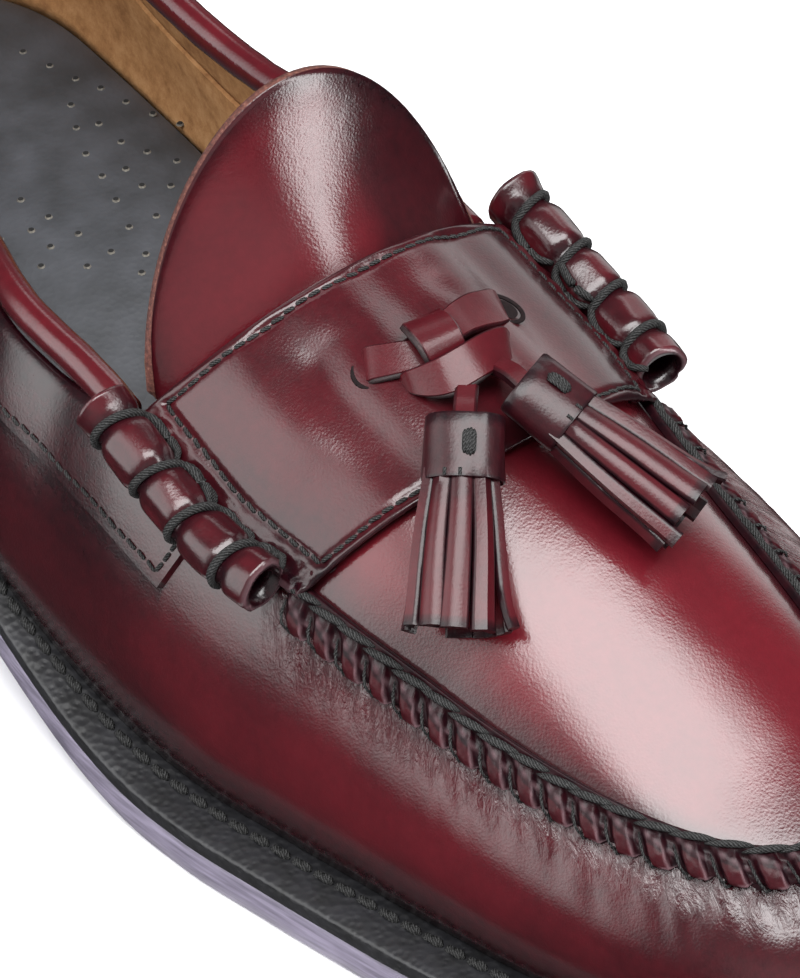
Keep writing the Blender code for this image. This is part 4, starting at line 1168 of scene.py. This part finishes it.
# lace: flat leather strip through the slots, tied over itself, with two stems for the tassels
# each row holds the strip's two edges: length from the ball, width and height over the strap, in millimetres
lace = dict(thickness=0.0013, stem=0.0036)
laceStrips = dict(
    outer=(((29.6, -11.6, -1.0), (34.0, -14.0, -1.0)), ((30.4, -11.2, 0.9), (35.4, -13.4, 0.7)),
           ((32.4, -9.4, 2.1), (37.4, -10.8, 1.4)), ((34.2, -7.4, 2.8), (38.9, -8.1, 1.9)),
           ((35.3, -4.4, 3.0), (39.4, -4.8, 2.3))),
    ring=(((32.4, -5.6, 1.2), (33.3, 0.4, 1.2)), ((32.4, -6.4, 3.4), (33.2, -0.6, 3.4)),
          ((34.6, -7.0, 5.0), (35.4, -1.0, 5.0)), ((37.6, -7.2, 5.2), (38.2, -1.4, 5.2)),
          ((39.6, -7.2, 3.9), (39.9, -1.5, 4.0)), ((40.0, -6.8, 2.0), (40.4, -1.2, 2.3))),
    inner=(((29.2, 12.6, -1.0), (34.4, 11.0, -1.0)), ((30.0, 10.6, 0.9), (35.6, 8.6, 0.7)),
           ((31.0, 8.0, 2.1), (36.8, 5.8, 1.7)), ((31.7, 5.2, 2.9), (37.6, 3.0, 2.7)),
           ((32.6, 2.2, 3.4), (38.2, 0.4, 3.3)), ((33.4, -0.6, 3.4), (38.6, -2.0, 3.3))),
    band=(((37.0, -10.2, 0.3), (39.4, -10.6, 0.2)), ((38.2, -9.9, 2.6), (41.6, -10.2, 1.4)),
          ((39.8, -8.2, 4.4), (44.4, -8.8, 2.6)), ((41.0, -6.0, 5.8), (46.2, -6.8, 3.7)),
          ((41.3, -2.8, 6.3), (46.5, -4.0, 4.4)), ((40.9, 0.8, 5.7), (45.8, -1.2, 4.2)),
          ((40.0, 4.2, 4.2), (44.4, 2.0, 2.8)), ((39.0, 6.0, 1.7), (42.8, 4.2, 1.1)),
          ((38.6, 5.4, 0.4), (41.8, 4.0, 0.3))))
# the lace is darker along its cut corners
cutCorners = (0, 4, 5, 9)
laceBurnish = {"darkeningAndPaintedShade": lambda i, j: 0.76 if j % 10 in cutCorners else 0.16}


def lacePath(rows, n, count):
    return bezierPath([overStrap(*(v * mm for v in row[n]))[0] for row in rows], count)


def laceStrip(bm, rows):
    edges = [lacePath(rows, n, 8) for n in (0, 1)]
    middle = [(a + b) / 2 for a, b in zip(*edges)]
    sides = [b - a for a, b in zip(*edges)]
    stripInto(bm, middle, lambda k: sides[k], lambda k: sides[k].length, lace["thickness"],
              values=laceBurnish, edge=0.22)


bm = bmesh.new()
for key in ("outer", "inner", "ring", "band"):
    laceStrip(bm, laceStrips[key])
addPiece("laceKnot", bm, [laceLeather], ["lace_knot"], sharp=40)

# raw dark edge of the lace where the ring's open end shows
bm = bmesh.new()
for key, n in (("ring", 0), ("outer", 1), ("band", 1)):
    threadInto(bm, lacePath(laceStrips[key], n, 6), lace["thickness"] * 0.46, 6, 0.8, ends=0.8)
addPiece("laceRawEdges", bm, [dyedEdge], ["lace_knot"])

# tassels: rolled cap held by one tack, over a fringe of cut strips
tasselForm = dict(capLength=0.0100, capWidth=0.0122, fringe=0.0225, fringeWidth=0.0150, flat=0.62, strips=10,
                  stripThickness=0.0013, slit=1.02, place=0.0510, tack=0.0042)
tasselPlaces = (
    dict(name="tasselOuter", node="tassel_outer", y=-0.0092, turn=(0.0196, -0.0172, -0.0185), rise=0.0066,
         start=(46.2, -5.4, 3.4), seed=3),
    dict(name="tasselInner", node="tassel_inner", y=-0.0008, turn=(0.0250, 0.0104, -0.0138), rise=0.0072,
         start=(44.4, 0.2, 2.8), seed=8))

# darker along its cut edges and at its end, with painted shade under the cap
stripEdgesAndPaintedShade = {"darkeningAndPaintedShade": lambda i, j: 0.22 + 0.75 * (j % 10 in cutCorners) + 0.30 * (1 - min(1, i / 4))
                + 0.9 * (i >= 14)}

for spot in tasselPlaces:
    f = tasselForm
    rnd = random.Random(spot["seed"])
    low, face = overStrap(f["place"], spot["y"])
    top = low + face * spot["rise"]
    axis = Vector(spot["turn"]).normalized()
    out = (face - axis * face.dot(axis)).normalized()
    across = axis.cross(out).normalized()
    depth = f["capWidth"] * f["flat"] * 1.15
    bm = bmesh.new()
    # the cap is a rolled strip: its outer end overlaps as a low step, where the tack holds it
    rings = []
    sides = 48
    profile = [(0.0009, 0.20), (0.0007, 0.55), (0.0003, 0.74), (0.0000, 0.82), (0.0000, 0.90),
               (0.0004, 0.945), (0.0022, 0.955), (0.0050, 0.965), (0.0078, 0.985), (0.0094, 1.0),
               (0.0099, 0.99), (0.0100, 0.95), (0.0097, 0.88), (0.0080, 0.84)]
    for distance, scale in profile:
        ring = []
        for k in range(sides):
            angle = 2 * pi * k / sides
            step = 0.00045 * smooth((angle - 1.95) / 0.10) * (1 - smooth((angle - 4.6) / 1.4))
            wave = 1 + 0.02 * sin(3 * angle + distance * 300)
            ring.append(top + axis * distance
                        + across * cos(angle) * (f["capWidth"] / 2 * scale * wave + step)
                        + out * sin(angle) * (depth / 2 * scale * wave + step))
        rings.append(ring)
    # darker at the cap's top end, with painted shade under its lower rim
    ringsInto(bm, rings, values={"darkeningAndPaintedShade": lambda i, j: 0.55 + 0.45 * (i < 6) + 0.45 * (i > 9)})
    # core that the strips hang from, dark all over as painted shade inside the fringe
    rings = []
    for distance, scale in ((0.0070, 0.80), (0.0110, 0.80), (0.0200, 0.78), (0.0290, 0.80)):
        rings.append([top + axis * distance + across * cos(2 * pi * k / 16) * f["capWidth"] / 2 * scale
                      + out * sin(2 * pi * k / 16) * depth / 2 * scale * 0.9 for k in range(16)])
    ringsInto(bm, rings, values={"darkeningAndPaintedShade": lambda i, j: 1.3})
    for n in range(f["strips"]):
        angle = 2 * pi * (n + 0.5) / f["strips"]
        lean = rnd.uniform(-0.07, 0.07)
        long = f["fringe"] * rnd.uniform(0.94, 1.03)
        curl = rnd.uniform(-0.10, 0.45)
        if n == 4:
            lean, curl = 0.16, 0.9
        path = []
        sidesAt = []
        widths = []
        for k in range(15):
            share = k / 14
            spread = share ** 1.25
            wide = (f["capWidth"] * 0.86 + (f["fringeWidth"] - f["capWidth"] * 0.86) * spread) / 2
            deep = wide * f["flat"] * 1.05
            turn = angle + lean * share ** 2
            lift = 0.0005 * sin(pi * share * 1.2) + curl * 0.0020 * share ** 5
            path.append(top + axis * (f["capLength"] - 0.0016 + (long + 0.0016) * share)
                        + across * cos(turn) * (wide - 0.0006 + lift)
                        + out * sin(turn) * (deep - 0.0006 + lift))
            tilt = turn + (0.10 if n % 2 else -0.08) * share
            sidesAt.append(across * -sin(tilt) + out * cos(tilt) * f["flat"])
            around = Vector((wide * sin(turn), deep * cos(turn)))
            widths.append(around.length * 2 * pi / f["strips"] * (1.0 - 0.10 * share) * f["slit"])
        stripInto(bm, path, lambda k: sidesAt[k], lambda k: widths[k], f["stripThickness"],
                  values=stripEdgesAndPaintedShade, cup=0.0005 if n % 3 else 0.0008)
    addPiece(spot["name"], bm, [laceLeather], [spot["node"]], sharp=45)
    # stem: the lace's end that runs from the knot into the cap
    bm = bmesh.new()
    start = overStrap(*(v * mm for v in spot["start"]))[0]
    end = top + axis * 0.0016
    stripInto(bm, bezierPath([start, start.lerp(end, 0.5) + face * 0.0008, end], 6),
              face.cross(end - start).normalized(), lace["stem"], lace["thickness"] * 1.6, values=laceBurnish)
    addPiece(spot["name"] + "Stem", bm, [laceLeather], ["lace_knot"], sharp=40)
    # tack of waxed thread that pins the cap's overlap, and below it three short dark thread marks as painted
    # shade for punched holes
    bm = bmesh.new()
    for off, long in ((-0.00065, 0.88), (-0.0002, 1.0), (0.00025, 0.94), (0.0007, 0.84)):
        tack = []
        for k in range(7):
            distance = 0.0026 + f["tack"] * (0.5 + (k / 6 - 0.5) * long)
            angle = 1.95 - 0.22
            wide = 0.96
            tack.append(top + axis * distance + across * (cos(angle) * f["capWidth"] / 2 * wide + off)
                        + out * (sin(angle) * (depth / 2 * wide) + 0.0002 + 0.0004 * sin(pi * k / 6)))
        threadInto(bm, tack, 0.00040, 6, 0.8, out, ends=0.4)
    for turn in (1.12, 1.52, 2.12):
        spotAt = (top + axis * 0.0087 + across * cos(turn) * f["capWidth"] / 2 * 0.98
                  + out * (sin(turn) * depth / 2 + 0.0001))
        threadInto(bm, [spotAt, spotAt + axis * 0.0011], 0.00035, 6, 0.6, out, ends=0.8)
    addPiece(spot["name"] + "Tack", bm, [greyThread])
print("lace and tassels made")

# insole: sock leather with punched holes
insoleForm = dict(thickness=0.003, inset=0.0028, hole=0.00070, shadeDisc=0.00050)


def insoleTop(x):
    return weltTop(x) + last["gap"] + insoleForm["thickness"]


soleRowsList = stationList(110)
columns = 24


def insoleEdge(station, side):
    edge = featherAt(station, side)
    return (edge.x + insoleForm["inset"] * (1 - 2 * station),
            edge.y - side * insoleForm["inset"] * roundEnds(station))


bm = bmesh.new()
rings = []
for s in soleRowsList:
    (x, y0), (_, y1) = insoleEdge(s, -1), insoleEdge(s, 1)
    ring = []
    top = insoleTop(x)
    low = top - insoleForm["thickness"]
    for k in range(columns + 1):
        v = k / columns
        drop = edgeDrop(min(v, 1 - v) * max(0.002, y1 - y0), 0.0012) * 0.8
        ring.append(Vector((x, y0 + (y1 - y0) * v, top - drop)))
    for k in range(columns + 1):
        ring.append(Vector((x, y1 + (y0 - y1) * k / columns, low)))
    rings.append(ring)
ringsInto(bm, rings, caps=False)
addPiece("sockInsole", bm, [charcoalSock], ["insole"], sharp=60, clean=True)

# rows of punched holes in a chevron, in mm: the outer half mirrors the inner one, a little further forward
holeSpots = [(-75.3, 29.3), (-114.1, 18.1), (-107.9, 19.5), (-102.0, 20.9), (-97.1, 22.8), (-91.2, 24.0),
             (-85.6, 25.7), (-80.4, 27.7), (-96.6, 16.2), (-89.3, 17.0), (-82.9, 17.2), (-77.9, 19.1),
             (-72.8, 21.7), (-90.9, 13.4), (-84.1, 10.7), (-77.5, 9.5), (-76.5, 13.7), (-71.3, 13.4),
             (-68.4, 17.3), (-71.1, 7.9), (-63.9, 11.1), (-64.4, 5.9), (-57.6, 4.5)]
bm = bmesh.new()
for x, y in holeSpots + [(x + 3.0, -y + 6.0) for x, y in holeSpots]:
    centre = Vector((x * mm, y * mm, insoleTop(x * mm) + 0.00012))
    made = bmesh.ops.create_cone(bm, cap_ends=True, segments=12, radius1=insoleForm["hole"],
                                 radius2=insoleForm["shadeDisc"], depth=0.0003)["verts"]
    for face in {f for v in made for f in v.link_faces}:
        # each hole is a low cone on the insole: its top disc is painted shade for the hole, its sides the
        # pale rim
        face.material_index = 1 if face.normal.z > 0.9 else 0
    bmesh.ops.translate(bm, vec=centre, verts=made)
addPiece("insoleHoles", bm, [punchedRim, holeShade])
print("insole made")

# welt with its row of twisted stitches
weltForm = dict(width=0.009, edge=0.0005, stitch=0.0044, thread=0.00085, share=0.74)
rings = []
for s, d in loopOf(stationList(150)):
    x0, y0 = outlineAt(s, d)
    x1, y1 = insetPoint(s, d, reachAt(s) + weltForm["width"])
    ring = []
    outer, inner = Vector((x0, y0, 0)), Vector((x1, y1, 0))
    e = weltForm["edge"]
    run = max(1e-6, (inner - outer).length)
    for share, drop, up in ((0, 0, 0), (0, 0, 0), (0, e, 1), (e * 0.35 / run, e * 0.3, 1),
                            (e * 1.2 / run, 0, 1), (0.16, -0.00005, 1), (0.30, 0.00005, 1), (1, 0, 1),
                            (1, 0, 0)):
        p = outer.lerp(inner, share)
        low = soleLine(p.x) + last["outsole"] + last["gap"]
        ring.append(Vector((p.x, p.y, low + (last["welt"] - drop) * up)))
    rings.append(ring)
bm = bmesh.new()
ringsInto(bm, rings, loop=True)
addPiece("weltStrip", bm, [darkWelt], ["welt"], sharp=50, clean=True)

line = []
for s, d in loopOf(stationList(260)):
    x, y = insetPoint(s, d, reachAt(s) * weltForm["share"])
    line.append(Vector((x, y, weltTop(x))))
marks = resample(line + line[:1], weltForm["stitch"])
bm = bmesh.new()
for a, b in zip(marks, marks[1:]):
    axis = (b - a).normalized()
    over = Vector((-axis.y, axis.x, 0)).normalized()
    for twin in (-1, 1):
        path = []
        for k in range(7):
            share = k / 6
            path.append(a.lerp(b, 0.06 + 0.88 * share)
                        + over * twin * 0.00026 * cos(pi * share * 1.6 + 0.3)
                        + Vector((0, 0, -0.0002 + 0.00055 * sin(pi * share)
                                  + 0.00022 * twin * sin(pi * share * 1.6 + 0.3))))
        threadInto(bm, path, weltForm["thread"] * 0.72, 6, 0.9, ends=0.45)
addPiece("weltStitches", bm, [greyThread])
print("welt made")

# outsole, heel block of stacked lifts, and top piece
soleForm = dict(edge=0.0009, lifts=3)
rings = []
for s in stationList(150):
    x, y0 = outlineAt(s, -1)
    _, y1 = outlineAt(s, 1)
    low, high = soleLine(x), soleLine(x) + last["outsole"]
    half = (y1 - y0) / 2
    ring = [Vector((x, y0 + (y1 - y0) * (0.03 + 0.94 * k / 8), low)) for k in range(9)]
    e = min(soleForm["edge"], half * 0.5)
    side = [(e * 0.35, low + e * 0.25), (0.0, low + e), (-e * 0.12, (low + high) / 2), (0.0, high - e * 0.7),
            (e * 0.3, high - e * 0.1)]
    for inset, z in side:
        ring.append(Vector((x, y1 - inset, z)))
    for k in range(9):
        ring.append(Vector((x, y1 + (y0 - y1) * (0.03 + 0.94 * k / 8), high)))
    for inset, z in reversed(side):
        ring.append(Vector((x, y0 + inset, z)))
    rings.append(ring)
bm = bmesh.new()
ringsInto(bm, rings, caps=False)
addPiece("leatherOutsole", bm, [soleEdge], ["outsole"], sharp=50, clean=True)

heelForm = dict(length=0.076, taper=0.0020, inset=0.0004, hollow=0.004, top=0.006)


def heelRing(share, levels, count=10):
    station = heelForm["length"] / last["length"] * share
    ring = []
    ends = []
    for inset, z in levels:
        x = outlineAt(station, -1)[0] + inset * (1 - share)
        y0, y1 = outlineAt(station, -1, inset)[1], outlineAt(station, 1, inset)[1]
        ends.append((x, y0, y1, z(x) if callable(z) else z))

    def spot(level, part):
        x, y0, y1, z = ends[level]
        hollow = heelForm["hollow"] * share ** 8 * (1 - (2 * part - 1) ** 2)
        return Vector((x - hollow, y0 + (y1 - y0) * part, z))

    for k in range(count + 1):
        ring.append(spot(0, k / count))
    for level in range(1, len(levels) - 1):
        ring.append(spot(level, 1.0))
    for k in range(count + 1):
        ring.append(spot(len(levels) - 1, 1 - k / count))
    for level in range(len(levels) - 2, 0, -1):
        ring.append(spot(level, 0.0))
    return ring


heelRows = [1 - cos(pi / 2 * i / 44) for i in range(45)]
blockLow = heelForm["top"] + last["gap"]


def blockLevels():
    levels = [(heelForm["taper"] + 0.0003, blockLow)]
    for n in range(soleForm["lifts"]):
        for part, groove in ((0.04, 0.00030), (0.12, 0.0), (0.88, 0.0), (0.96, 0.00030)):
            share = (n + part) / soleForm["lifts"]
            inset = heelForm["taper"] + (heelForm["inset"] - heelForm["taper"]) * share + groove
            levels.append((inset, lambda x, share=share: blockLow
                           + (soleLine(x) - last["gap"] - blockLow) * share))
    levels.append((heelForm["inset"] + 0.0003, lambda x: soleLine(x) - last["gap"]))
    return levels


bm = bmesh.new()
ringsInto(bm, [heelRing(q, blockLevels()) for q in heelRows])
addPiece("heelLifts", bm, [soleEdge], ["heel_block"], sharp=50, clean=True)
low = heelForm["taper"] + heelForm["inset"]
bm = bmesh.new()
ringsInto(bm, [heelRing(q, [(low + 0.0006, 0.0), (low, 0.0006), (low - 0.0002, 0.0030),
                            (heelForm["taper"], heelForm["top"] - 0.0004),
                            (heelForm["taper"] + 0.0003, heelForm["top"])])
               for q in heelRows])
addPiece("heelTopPiece", bm, [heelRubber], ["heel_top_piece"], sharp=50, clean=True)
print("sole made")

# floor and studio: a pale sweep, a softbox overhead that leans to the outer side, and side strips
bm = bmesh.new()
bmesh.ops.create_grid(bm, x_segments=1, y_segments=1, size=3.0)
floorMesh = bpy.data.meshes.new("paleFloor")
bm.to_mesh(floorMesh)
bm.free()
floor = bpy.data.objects.new("paleFloor", floorMesh)
bpy.context.scene.collection.objects.link(floor)
made, tree, shader = newMaterial("paleStudioFloor", Roughness=0.7)
shader.inputs["Base Color"].default_value = linear("E9E9EC")
floorMesh.materials.append(made)
floor.visible_glossy = False

# each panel of light: azimuth and elevation of its middle, half width and height, softness, all in degrees
studio = dict(
    ambient=0.10,
    panels=(
        dict(azimuth=-13, elevation=72.5, wide=31, high=15.5, soft=(10, 4), power=12.0),
        dict(azimuth=-112, elevation=24, wide=22, high=28, soft=(13, 11), power=3.6),
        dict(azimuth=33, elevation=4, wide=5, high=36, soft=(4, 10), power=12.0),
        dict(azimuth=-25, elevation=8, wide=42, high=28, soft=(14, 14), power=0.5),
        dict(azimuth=115, elevation=4, wide=8, high=32, soft=(6, 12), power=1.2),
        dict(azimuth=124, elevation=43, wide=14, high=7, soft=(8, 6), power=2.5)),
    below=1.0)


def panelMask(tree, direction, f):
    a, e = radians(f["azimuth"]), radians(f["elevation"])
    centre = (cos(e) * cos(a), cos(e) * sin(a), sin(e))
    side = (-sin(a), cos(a), 0.0)
    up = (-sin(e) * cos(a), -sin(e) * sin(a), cos(e))
    dots = [addNode(tree, "ShaderNodeVectorMath", {"operation": "DOT_PRODUCT", 1: axis},
                    {0: direction}).outputs["Value"] for axis in (centre, side, up)]
    depth = mathOf(tree, "MAXIMUM", dots[0], 0.02)
    mask = mathOf(tree, "GREATER_THAN", dots[0], 0.0)
    for dot, half, soft in ((dots[1], f["wide"], f["soft"][0]), (dots[2], f["high"], f["soft"][1])):
        angle = mathOf(tree, "ARCTANGENT", mathOf(tree, "DIVIDE", dot, depth))
        fade = rangeOf(tree, mathOf(tree, "ABSOLUTE", angle), radians(half - soft), radians(half + soft),
                       1.0, 0.0, interpolation_type="SMOOTHSTEP")
        mask = mathOf(tree, "MULTIPLY", mask, fade)
    return mathOf(tree, "MULTIPLY", mask, f["power"])


world = bpy.data.worlds.new("studio")
bpy.context.scene.world = world
world.use_nodes = True
tree = world.node_tree
direction = addNode(tree, "ShaderNodeTexCoord").outputs["Generated"]
height = addNode(tree, "ShaderNodeSeparateXYZ", {}, {0: direction}).outputs["Z"]
light = rangeOf(tree, height, -0.76, -0.90, 0.0, studio["below"], interpolation_type="SMOOTHSTEP")
light = mathOf(tree, "ADD", light, rangeOf(tree, height, -0.35, 0.15, 0.03, studio["ambient"],
                                           interpolation_type="SMOOTHSTEP"))
for panel in studio["panels"]:
    light = mathOf(tree, "ADD", light, panelMask(tree, direction, panel))
background = tree.nodes["Background"]
background.inputs["Color"].default_value = (1, 1, 1, 1)
tree.links.new(light, background.inputs["Strength"])
bpy.context.scene.view_settings.view_transform = "Standard"
print("stage made")
